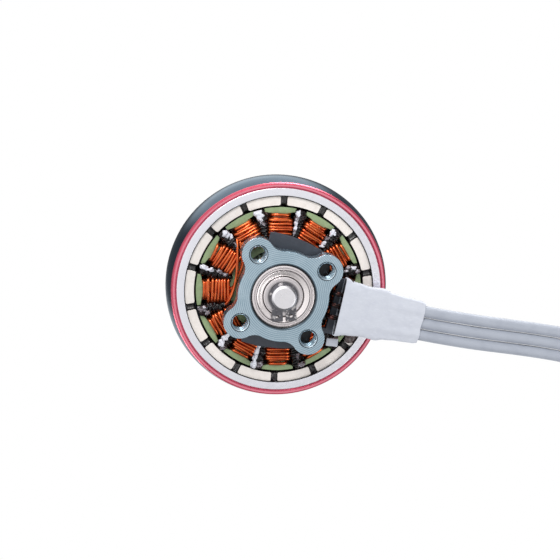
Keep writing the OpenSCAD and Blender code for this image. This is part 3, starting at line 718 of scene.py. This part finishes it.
# ---- windings
TOOTH_COUNT = 12
TOOTH_PHASE = 16
TOOTH_STEP = 360 / TOOTH_COUNT
STACK_MID_Z = 10
NECK_HALF_W = 1.2
COATING_HALF_H = 3.9
WIRE_D = 0.53
WIRE_R = WIRE_D / 2
WIRE_CLEAR = 0.03
LAYER_STEP = WIRE_D * 0.8
WINDING_START = 8.42
WINDING_END = 12.14
INNER_TURNS = 8
OUTER_TURNS = 7
CORNER_POINTS = 5
CORNER_R = 0.62
CROWN_H = 0.1
END_H = 0.7
INNER_LAY = 0.93


def loop_points(half_w, half_h):
    """One loop round a tooth, as (across, height) points that start half way up one side."""
    loop = [(half_w, 0.0)]
    middles = [(0.0, half_h + CROWN_H), (-half_w, 0.0), (0.0, -half_h - CROWN_H)]
    for corner, (side, up) in enumerate(((1, 1), (-1, 1), (-1, -1), (1, -1))):
        for k in range(CORNER_POINTS):
            a = radians(90 * corner + 90 * k / (CORNER_POINTS - 1))
            loop.append((
                side * (half_w - CORNER_R) + CORNER_R * cos(a),
                up * (half_h - CORNER_R) + CORNER_R * sin(a),
            ))
        loop += middles[corner:corner + 1]
    return loop


def winding_path(chance):
    """Two layers of wire: out along the neck of the tooth, then back over the first."""
    path = []
    pitch = (WINDING_END - WINDING_START) / (INNER_TURNS - 1)
    for layer, turns in enumerate((INNER_TURNS, OUTER_TURNS)):
        half_h = COATING_HALF_H + WIRE_R + WIRE_CLEAR + layer * LAYER_STEP
        half_w = NECK_HALF_W + WIRE_R + WIRE_CLEAR + layer * LAYER_STEP
        for turn in range(turns):
            loop = loop_points(half_w + chance.uniform(-0.03, 0.05), half_h)
            low_shift = chance.uniform(-0.1, 0.1)
            high_shift = chance.uniform(-0.1, 0.1)
            lift = chance.uniform(0, 0.08)
            lean = chance.uniform(-0.07, 0.07)
            for k, (y, z) in enumerate(loop):
                along = turn + k / len(loop)
                r = WINDING_START + pitch * along * INNER_LAY
                if layer == 1:
                    r = WINDING_END - pitch * (0.5 + along)
                shift = low_shift if z < 0 else high_shift
                near_end = max(0, (abs(z) - half_h + END_H) / END_H)
                r += (shift + lean * y) * near_end
                z += copysign(lift * near_end, z)
                path.append(Vector((r, y, STACK_MID_Z + z)))
    return path


def make_windings():
    chance = random.Random(7)
    for i in range(TOOTH_COUNT):
        shape = Shape()
        shape.tube([turned(p, TOOTH_PHASE + TOOTH_STEP * i) for p in winding_path(chance)], WIRE_R)
        wound = shape.piece(f"winding_{i + 1}", "copper")
        settle(wound, STATOR, "copper_wire", f"coil_{i + 1}")


# Wires that pass from coil to coil beside the hub
CROSSINGS = [
    [(-8.9, -6.6, 5.6), (-8.36, -4.75, 4.85), (-7.92, -2.84, 4.7), (-7.55, -0.92, 4.65),
     (-7.4, 1.4, 4.7), (-7.6, 3.44, 4.9), (-8.3, 4.9, 5.7)],
    [(-7.2, -4.9, 5.4), (-6.95, -3.3, 4.95), (-7.1, -1.3, 4.95), (-7.4, 0.5, 5.05),
     (-7.55, 2.77, 5.1), (-8, 4.3, 5.8)],
    [(-8.3, -6.2, 5.5), (-7.6, -4.57, 5.15), (-7.15, -3.09, 5.25), (-7.05, -1.43, 5.3),
     (-7.3, 0.82, 5.35), (-8, 2, 5.7)],
    [(2.4, 9.1, 5.6), (3.6, 7.6, 5.1), (5.4, 6.6, 4.9), (7.1, 5.3, 5.0), (8.1, 3.6, 4.8)],
    [(3.6, -8.7, 5.6), (5.2, -7.3, 5.1), (6.6, -6.1, 4.9), (7.7, -4.6, 5.0), (8.2, -3.2, 4.8)],
]


def smooth_path(points, steps=6):
    """A finer path through the points."""
    path = []
    for i in range(len(points) - 1):
        a = Vector(points[max(i - 1, 0)])
        b, c = Vector(points[i]), Vector(points[i + 1])
        d = Vector(points[min(i + 2, len(points) - 1)])
        for k in range(steps):
            t = k / steps
            path.append(0.5 * (2 * b + (c - a) * t + (2 * a - 5 * b + 4 * c - d) * t * t
                               + (3 * b - a - 3 * c + d) * t ** 3))
    return path + [Vector(points[-1])]


def make_crossings():
    shape = Shape()
    for points in CROSSINGS:
        shape.tube(smooth_path(points), WIRE_R * 0.92)
    settle(shape.piece("crossing_wires", "copper"), STATOR, "copper_wire")


# ---- resin in the slots, with painted highlights
# Painted highlights on each slot's resin, from the leads round, as patches: distance from the
# shaft, distance beside the slot's middle, half length, half width, turn, and 0 for white or 1 for
# grey
SLOT_HIGHLIGHTS = [
    [],
    [(11.3, -0.3, 0.5, 0.3, 20, 1), (12.9, -0.5, 0.65, 0.35, 80, 1)],
    [(9.9, 0.72, 0.55, 0.33, 5, 0), (10.8, 0.78, 0.7, 0.4, -8, 0), (11.8, 0.86, 0.65, 0.34, 10, 0),
     (12.9, 0.7, 0.75, 0.42, -5, 0), (12.7, -0.3, 0.5, 0.4, 40, 1)],
    [(11.7, 0.72, 0.62, 0.42, 15, 0), (12.7, 0.45, 0.6, 0.5, -30, 0),
     (13.1, -0.2, 0.4, 0.4, 0, 1)],
    [(12.9, 0.35, 0.6, 0.5, 30, 1), (12.3, -0.35, 0.45, 0.35, 70, 1)],
    [(12.9, 0.5, 0.65, 0.38, 12, 0), (11.8, 0.42, 0.6, 0.3, -15, 0), (10.2, 0.5, 0.55, 0.3, 20, 1),
     (9.2, 0.3, 0.45, 0.25, -10, 1)],
    [(12.8, 0.35, 0.6, 0.62, 20, 0), (11.9, 0.6, 0.45, 0.3, 30, 0), (10.4, 0.2, 0.5, 0.2, 10, 1)],
    [(13, -0.3, 0.62, 0.62, 15, 0), (12.1, -0.25, 0.6, 0.32, 5, 0), (11.3, 0.1, 0.35, 0.25, 0, 1)],
    [(12.9, -0.6, 0.5, 0.34, -20, 0), (12.1, -0.5, 0.5, 0.28, 15, 1),
     (11.3, -0.45, 0.45, 0.26, -10, 0), (10.5, -0.42, 0.4, 0.24, 10, 0),
     (9.7, -0.34, 0.4, 0.22, 0, 1)],
    [(12.8, -0.45, 0.42, 0.34, 35, 0), (12.4, -0.75, 0.4, 0.26, -25, 0),
     (12.95, -0.85, 0.3, 0.28, 0, 0), (10.5, -0.5, 0.42, 0.3, 10, 0),
     (9.95, -0.4, 0.36, 0.22, 40, 0), (11.4, -0.7, 0.4, 0.3, 0, 1)],
    [(12.6, -0.4, 0.5, 0.36, 40, 0), (11.8, -0.7, 0.45, 0.3, -20, 1),
     (11.3, -0.3, 0.35, 0.25, 15, 0), (13.1, 0.3, 0.4, 0.3, 10, 1)],
    [(12.7, 0.2, 0.6, 0.4, 20, 1), (11.6, -0.2, 0.45, 0.3, 0, 1)],
]
SLOT_ENDS = ((5.85, -1), (14.15, 1))
LUMPS = 11
LUMPS_IN_R = 8.3
LUMPS_OVER = 4.75
LUMP_SIZE = (0.5, 0.66)
LUMP_HALF_W = (0.3, 0.85)
TOOTH_SIDE = 1.95
FILL_R = 13.6
HIGHLIGHT_T = 0.3
HIGHLIGHT_OUT = 0.62
WEDGE = [(11.9, -0.8), (13.4, -0.86), (13.4, 0.86), (11.9, 0.8)]
WEDGE_ENDS = (6.3, 13.7)


def inside(point, radius):
    """The point, drawn in to a cylinder about the shaft if it lies outside it."""
    share = min(1, radius / hypot(point.x, point.y))
    return Vector((point.x * share, point.y * share, point.z))


def make_slot_fill():
    """Dark resin in every slot, lumpy at both ends, with white and grey patches of painted
    highlight on it.
    """
    chance = random.Random(11)
    resin = Shape()
    resin_highlights = Shape()
    for i in range(TOOTH_COUNT):
        slot = TOOTH_PHASE + TOOTH_STEP * (i + 0.5)
        for z, outward in SLOT_ENDS:
            for k in range(LUMPS):
                r = LUMPS_IN_R + LUMPS_OVER * k / (LUMPS - 1)
                half_slot = r * tan(radians(TOOTH_STEP / 2)) - TOOTH_SIDE
                room = max(LUMP_HALF_W[0], min(LUMP_HALF_W[1], half_slot))
                at = Vector((r, chance.uniform(-0.1, 0.1), z + chance.uniform(-0.1, 0.1)))
                points, faces = lump(at, (LUMP_SIZE[0], room, LUMP_SIZE[1]), chance)
                resin.add([inside(turned(p, slot), FILL_R) for p in points], faces)
            # Patches of painted highlight on the resin's face.
            for r, beside, half_len, half_w, turn, mark in SLOT_HIGHLIGHTS[i]:
                size = (half_len, half_w, HIGHLIGHT_T)
                points, faces = lump(Vector(), size, chance, ragged=0.9)
                at = Vector((r, beside, z + HIGHLIGHT_OUT * outward))
                points = [inside(turned(turned(p, turn) + at, slot), FILL_R) for p in points]
                resin_highlights.add(points, faces, mark)
        # Wedge that closes the slot from end to end
        points = [turned((x, y, z), slot) for z in WEDGE_ENDS for x, y in WEDGE]
        resin.add(points, bar_faces(4))
    settle(resin.piece("slot_resin_fill", "resin"), STATOR, "dark_board")
    settle(resin_highlights.piece("slot_painted_highlights", "resin_highlights", "grey_painted_sheen"), STATOR, "white_sleeve")


def make_slot_tab():
    """The end of a slot's paper liner, bent over beside the sleeve."""
    half_len, half_w, askew = 0.98, 0.66, -38
    corners = [(-half_len, -half_w), (half_len, -half_w), (half_len, half_w), (-half_len, half_w)]
    points = []
    for z, lean in ((4.95, 0.0), (6.3, 0.25)):
        for x, y in corners:
            at = turned((x + lean, y, z), askew) + Vector((12.35, -0.1, 0))
            points.append(turned(at, TOOTH_PHASE + TOOTH_STEP / 2))
    shape = Shape()
    shape.add(points, bar_faces(4))
    tab = shape.piece("slot_liner_tab", "sleeve")
    eased(tab, 0.12, segments=3)
    settle(tab, STATOR, "white_sleeve")


# ---- rotor
MAGNET_COUNT = 14
MAGNET_PHASE = 13.7
MAGNET_IN_R = 13.85
MAGNET_OUT_R = 15.39
MAGNET_Z = 5.9
MAGNET_TOP = 15
MAGNET_HALF_ANGLE = 10.8
FLUX_IN_R = 15.4
FLUX_OUT_R = 16.75
FLUX_Z = 5.6
FLUX_TOP = 15.4
BAND_TOP_Z = 6.0
SEAT_Z = 20.5
STUD_R = 2.5
STUD_TOP = 33
RING_STEPS = 192


def make_magnets():
    """Arc magnets with rounded edges: a light plated end face and dark sides."""
    for i in range(MAGNET_COUNT):
        name = f"magnet_{i + 1}"
        piece = copied(f"arc_{name}", name, "magnet")
        piece.data.materials.append(LOOKS["magnet_side"])
        for face in piece.data.polygons:
            face.material_index = 0 if abs(face.normal.z) > 0.5 else 1
        eased(piece, 0.09, angle=50)
        settle(piece, ROTOR, "magnet_plating", name)


def make_magnet_glue():
    """Dark filler between the magnets, a little behind their faces."""
    chance = random.Random(5)
    step = 360 / MAGNET_COUNT
    rows, columns = 6, 5
    n = rows * columns
    faces = []
    for a in range(rows - 1):
        for b in range(columns - 1):
            at = a * columns + b
            quad = (at, at + 1, at + columns + 1, at + columns)
            faces += [quad, tuple(n + v for v in reversed(quad))]
    edge = (
        list(range(columns))
        + [a * columns + columns - 1 for a in range(1, rows)]
        + [(rows - 1) * columns + b for b in range(columns - 2, -1, -1)]
        + [a * columns for a in range(rows - 2, 0, -1)]
    )
    faces += [(p, n + p, n + q, q) for p, q in zip(edge, edge[1:] + edge[:1])]
    shape = Shape()
    for i in range(MAGNET_COUNT):
        middle = MAGNET_PHASE + step * (i + 0.5)
        half = step / 2 - MAGNET_HALF_ANGLE + 0.3
        points = []
        for z_end, inward in ((MAGNET_Z + 0.3, 1), (MAGNET_TOP - 0.2, -1)):
            for a in range(rows):
                r = MAGNET_IN_R + 0.12 + (MAGNET_OUT_R - MAGNET_IN_R - 0.1) * a / (rows - 1)
                for b in range(columns):
                    across = 2 * b / (columns - 1) - 1
                    dip = 0.35 * (1 - abs(across)) + chance.uniform(-0.08, 0.08)
                    points.append(polar(r, middle + half * across, z_end + inward * dip))
        shape.add(points, faces)
    settle(shape.piece("magnet_glue", "glue_and_shade"), ROTOR, "magnet_plating")


def make_residue():
    """Smear of varnish on the face of one magnet beside the leads."""
    chance = random.Random(4)
    shape = Shape()
    for r, angle, size in (
        (14.35, 21.2, (0.62, 0.7, 0.12)),
        (14.85, 20, (0.6, 0.62, 0.1)),
        (14.1, 19.2, (0.4, 0.4, 0.1)),
    ):
        points, faces = lump(Vector((r, 0, MAGNET_Z - 0.02)), size, chance, ragged=0.6)
        shape.add([turned(p, angle) for p in points], faces)
    settle(shape.piece("magnet_residue", "residue"), ROTOR, "magnet_plating")


def make_flux_ring():
    """The ring, and dark adhesive along its joint with the magnets."""
    chamfer = 0.1
    ring = lathed("flux_ring_turned", "flux", RING_STEPS, [
        (FLUX_IN_R + chamfer, FLUX_Z), (FLUX_OUT_R - chamfer, FLUX_Z),
        (FLUX_OUT_R, FLUX_Z + chamfer), (FLUX_OUT_R, FLUX_TOP),
        (FLUX_IN_R, FLUX_TOP), (FLUX_IN_R, FLUX_Z + chamfer),
    ])
    eased(ring, 0.04)
    settle(ring, ROTOR, "flux_ring_steel", "flux_ring")
    line = lathed("magnet_bond_line", "glue_and_shade", RING_STEPS, [
        (15.33, 5.93), (15.36, 5.62), (15.44, 5.58), (15.49, 5.6), (15.49, 5.72), (15.42, 5.93),
    ])
    settle(line, ROTOR, "magnet_plating")


def make_bell():
    """The bell, with its rim in another colour below a cut."""
    bell = copied("bell_shell", "bell", "bell")
    bell.data.materials.append(LOOKS["rim"])
    band = (BAND_TOP_Z - 0.02) * MM
    with edited(bell.data) as work:
        bmesh.ops.bisect_plane(
            work, geom=work.verts[:] + work.edges[:] + work.faces[:],
            plane_co=(0, 0, band), plane_no=(0, 0, 1),
        )
        for face in work.faces:
            face.material_index = 1 if face.calc_center_median().z < band else 0
    eased(bell, 0.09, angle=34)
    settle(bell, ROTOR, "bell_aluminium", "bell")


def make_seat_serrations():
    """Fine radial teeth that grip the propeller."""
    steps = 180
    in_r, out_r, root, low, high = 3.1, 5.6, -0.05, 0.01, 0.1
    points = []
    for j in range(steps):
        top = SEAT_Z + (high if j % 2 else low)
        for r, z in ((in_r, SEAT_Z + root), (in_r, top), (out_r, top), (out_r, SEAT_Z + root)):
            points.append(polar(r, 360 * j / steps, z))
    shape = Shape()
    shape.add(points, around_each(steps, 4, closed=True))
    ring = shape.piece("seat_serrations", "bell")
    ring.data.shade_flat()
    settle(ring, ROTOR, "bell_aluminium")


def make_shaft():
    """The shaft with its clip groove and the threaded stud."""
    pitch, depth = 0.8, 0.4
    groove_low, groove_high, groove_r = -0.26, 0.16, 1.74
    low_end, steps, around = -1.3, 96, 64
    rows = [(r, z, 0) for r, z in (
        (1.62, low_end), (1.7, low_end), (1.76, -1.26), (2, -1.02), (2, -0.98),
        (2, groove_low), (groove_r, groove_low), (groove_r, groove_high), (2, groove_high),
        (2, SEAT_Z - 0.5), (2, SEAT_Z), (STUD_R, SEAT_Z + 0.001),
    )]
    for k in range(steps + 1):
        z = SEAT_Z + 0.05 + (STUD_TOP - 0.06 - SEAT_Z) * k / steps
        lead_in = min(1, max(0, (z - SEAT_Z) / 0.9)) * min(1, max(0, (STUD_TOP - z) / 0.5))
        rows.append((STUD_R - max(0, z - (STUD_TOP - 0.5)), z, lead_in))
    points = []
    for r, z, share in rows:
        for j in range(around):
            phase = (z / pitch - j / around) % 1
            cut = depth * share * min(1, max(0, 1.25 * (1 - abs(2 * phase - 1)) - 0.1))
            points.append(polar(r - cut, 360 * j / around, z))
    first, last = len(points), len(points) + 1
    points += [Vector((0, 0, low_end)), Vector((0, 0, STUD_TOP - 0.01))]
    top_row = (len(rows) - 1) * around
    faces = around_each(len(rows), around)
    for j in range(around):
        n = (j + 1) % around
        faces += [(first, n, j), (last, top_row + j, top_row + n)]
    shape = Shape()
    shape.add(points, faces)
    settle(shape.piece("shaft_and_stud", "shaft", sharp=34), ROTOR, "shaft_steel", "shaft")


# ---- bearings, clip and washers
SHAFT_FIT_R = 2.01
BEARING_R = 5
INNER_RACE_R = 3.2
OUTER_RACE_R = 4.15
SHIELD_SEAT_R = 4.3
BEARING_W = 4
WASHER_R = 3
BEARINGS = {"lower": 0.3, "upper": 11.9}
BEARING_STEPS = 160
WASHER_STEPS = 128
CRISP = 40


def make_bearing(which, low_z):
    """Races with rounded shoulders and a groove in the face, and shields with a rolled hem."""
    def lifted(profile):
        return [(r, low_z + h) for r, h in profile]

    def flipped(profile):
        return [(r, BEARING_W - h) for r, h in profile]

    def race(name, half, body, node):
        profile = lifted(half + flipped(reversed(half)))
        ring = lathed(name, "race", BEARING_STEPS, profile, sharp=CRISP)
        settle(ring, body, "bearing_steel", node)

    race(f"{which}_outer_race", [
        (OUTER_RACE_R, 0.5), (OUTER_RACE_R, 0.26), (SHIELD_SEAT_R, 0.25), (SHIELD_SEAT_R, 0.04),
        (4.34, 0), (4.64, 0), (4.67, 0.1), (4.74, 0.1), (4.77, 0), (4.9, 0), (4.96, 0.02),
        (4.99, 0.07), (BEARING_R, 0.16),
    ], STATOR, f"{which}_bearing_outer_race")
    race(f"{which}_inner_race", [
        (INNER_RACE_R, 0.5), (INNER_RACE_R, 0.06), (3.16, 0.01), (3.1, 0), (2.2, 0),
        (2.08, 0.04), (SHAFT_FIT_R, 0.14),
    ], ROTOR, f"{which}_bearing_inner_race")
    hem = [
        (3.3, 0.17), (3.31, 0.1), (3.34, 0.05), (3.4, 0.05), (3.43, 0.13), (3.5, 0.13),
        (3.56, 0.1), (4.02, 0.1), (4.1, 0.08), (4.18, 0.03), (4.24, 0.03), (4.29, 0.09),
        (4.29, 0.25), (3.3, 0.25),
    ]
    profiles = (lifted(hem), lifted(flipped(hem)))
    shields = lathed(f"{which}_shields", "shield", BEARING_STEPS, *profiles, sharp=CRISP)
    settle(shields, STATOR, "shield_steel", f"{which}_bearing_shields")


def make_seat_line():
    """A dark ring in the corner between the lower bearing and its seat: painted shade in that gap.
    """
    line = lathed("seat_shade_ring", "glue_and_shade", BEARING_STEPS, [
        (4.98, 0.36), (4.99, 0.3), (5.04, 0.25), (5.13, 0.165), (5.15, 0.2), (5.1, 0.36),
    ])
    settle(line, STATOR, "dark_board")


def make_clip_and_washers():
    refined("clip_with_ears", "retaining_clip", "clip", ROTOR, "spring_steel", 0.05)
    for which, low, thick in (("lower", 0.15, 0.15), ("upper", 15.9, 0.3)):
        edge = thick / 4
        high = low + thick
        washer = lathed(f"{which}_spacer", "washer", WASHER_STEPS, [
            (SHAFT_FIT_R, low + edge), (SHAFT_FIT_R + edge, low),
            (WASHER_R - edge, low), (WASHER_R, low + edge),
            (WASHER_R, high - edge), (WASHER_R - edge, high),
            (SHAFT_FIT_R + edge, high), (SHAFT_FIT_R, high - edge),
        ], sharp=30)
        settle(washer, ROTOR, "washer_steel", f"{which}_washer")


# ---- base
BOLT_HOLE_R = 1.25
BOLT_ANGLES = (45, 135, 225, 315)
FLANGE_T = 2.6
THREAD_PITCH = 0.5
THREAD_R = 0.13
THREAD_STEPS = 28


def make_base():
    """The base, with a thread as a thin helix in each bolt hole."""
    refined("mounting_base", "base_mount", "base", STATOR, "base_aluminium", 0.05, angle=34)
    shape = Shape()
    turns = (FLANGE_T - 0.5) / THREAD_PITCH
    for angle in BOLT_ANGLES:
        centre = polar(BOLT_R, angle)
        shape.tube([
            centre + polar(BOLT_HOLE_R + 0.04, 360 * share, 0.42 + THREAD_PITCH * share)
            for share in (k / THREAD_STEPS for k in range(int(turns * THREAD_STEPS)))
        ], THREAD_R, 6)
    settle(shape.piece("bolt_threads", "base"), STATOR, "base_aluminium")


# ---- floor, light and world
FLOOR_HALF = 1500
FLOOR_Z = -0.06

# What polished metal sees: bright before the mounting face and to its upper left, and two screens
# behind the motor. Each has a direction, the cosines between which it fades in, and its strengths
SCREENS = [
    ((-0.641, -0.416, -0.647), 0, 0.75, 0.14, 1.42),
    ((-0.23, -0.57, 0.789), 0.81, 0.93, 0, 1.8),
    ((0.1, 0.62, 0.778), 0.84, 0.93, 0, 0.8),
]

# Each lamp's place, size and power in watts
LAMPS = {
    "key": ((-130, -220, -210), 130, 0.55),
    "fill": ((230, 60, -180), 200, 0.3),
    "top": ((20, -270, 150), 160, 0.8),
    "back": ((-150, 220, 120), 160, 0.5),
}
LAMP_TARGET = Vector((5, -2, 8))


def make_stage():
    """A pale floor under the mounting face, which is clear from below."""
    mesh = bpy.data.meshes.new("floor")
    corners = [(-1, -1), (1, -1), (1, 1), (-1, 1)]
    points = [Vector((x * FLOOR_HALF, y * FLOOR_HALF, FLOOR_Z)) * MM for x, y in corners]
    mesh.from_pydata(points, [], [(0, 1, 2, 3)])
    placed("floor", mesh)

    material = bpy.data.materials.new("floor_paper")
    material.use_nodes = True
    tree = material.node_tree
    paper = tree.nodes["Principled BSDF"]
    paper.inputs["Base Color"].default_value = srgb(244, 244, 246)
    paper.inputs["Roughness"].default_value = 0.9
    inputs = {
        0: add_node(tree, "LightPath").outputs["Is Camera Ray"],
        1: add_node(tree, "NewGeometry").outputs["Backfacing"],
    }
    seen = add_node(tree, "Math", inputs, operation="SUBTRACT", use_clamp=True)
    mix = add_node(tree, "MixShader", {
        0: seen.outputs["Value"],
        1: add_node(tree, "BsdfTransparent").outputs["BSDF"],
        2: paper.outputs["BSDF"],
    })
    tree.links.new(mix.outputs["Shader"], tree.nodes["Material Output"].inputs["Surface"])
    mesh.materials.append(material)


def make_world():
    """White where the camera and glass look, a little softer as light, screens in reflections."""
    world = bpy.data.worlds.new("studio")
    scene.world = world
    world.use_nodes = True
    tree = world.node_tree
    light = tree.nodes["Background"]
    light.inputs["Color"].default_value = (0.94, 0.96, 1, 1)
    light.inputs["Strength"].default_value = 0.62
    white = add_node(tree, "Background", {"Color": (1, 1, 1, 1), "Strength": 1})

    way = add_node(tree, "TexCoord").outputs["Generated"]
    total = 0.0
    for direction, *fades in SCREENS:
        near = add_node(tree, "VectorMath", {0: way, 1: direction}, operation="DOT_PRODUCT")
        inputs = dict(enumerate((near.outputs["Value"], *fades)))
        fade = add_node(tree, "MapRange", inputs, interpolation_type="SMOOTHSTEP")
        total = add_node(tree, "Math", {0: total, 1: fade.outputs["Result"]}).outputs["Value"]
    studio = add_node(tree, "Background", {"Strength": total})

    rays = add_node(tree, "LightPath").outputs
    inputs = {0: rays["Is Camera Ray"], 1: rays["Is Transmission Ray"]}
    seen = add_node(tree, "Math", inputs, operation="MAXIMUM").outputs["Value"]
    inputs = {0: rays["Is Glossy Ray"], 1: light.outputs[0], 2: studio.outputs[0]}
    gloss = add_node(tree, "MixShader", inputs).outputs["Shader"]
    mix = add_node(tree, "MixShader", {0: seen, 1: gloss, 2: white.outputs[0]})
    tree.links.new(mix.outputs["Shader"], tree.nodes["World Output"].inputs["Surface"])


def make_lamps():
    for name, (at, size, power) in LAMPS.items():
        data = bpy.data.lights.new(name, "AREA")
        data.size = size * MM
        data.energy = power
        lamp = placed(name, data)
        lamp.location = Vector(at) * MM
        lamp.rotation_mode = "QUATERNION"
        way = (LAMP_TARGET - Vector(at)).normalized()
        lamp.rotation_quaternion = way.to_track_quat("-Z", "Y")


# ---- build
tie = make_tie()
for key, side in LEADS.items():
    route = lead_route(side)
    cable, tip = make_lead(key, route)
make_sleeve()
make_tails()
make_tail_shade()
make_windings()
make_crossings()
make_slot_fill()
make_slot_tab()
make_magnets()
make_magnet_glue()
make_residue()
make_flux_ring()
make_bell()
make_seat_serrations()
make_shaft()
for which, low_z in BEARINGS.items():
    make_bearing(which, low_z)
make_seat_line()
make_clip_and_washers()
make_base()
refined(
    "insulating_board", "insulating_plate", "board", STATOR, "dark_board", 0.14,
    angle=40, segments=3,
)
refined("stator_powder_coat", "stator_coating", "coating", STATOR, "green_coating", 0.1, angle=40)
keep("stator_core", "stack")
keep("lead_roots", "silicone")
for which in BEARINGS:
    keep(f"{which}_bearing_balls", "ball")
    keep(f"{which}_bearing_cage", "cage")
make_stage()
make_world()
make_lamps()
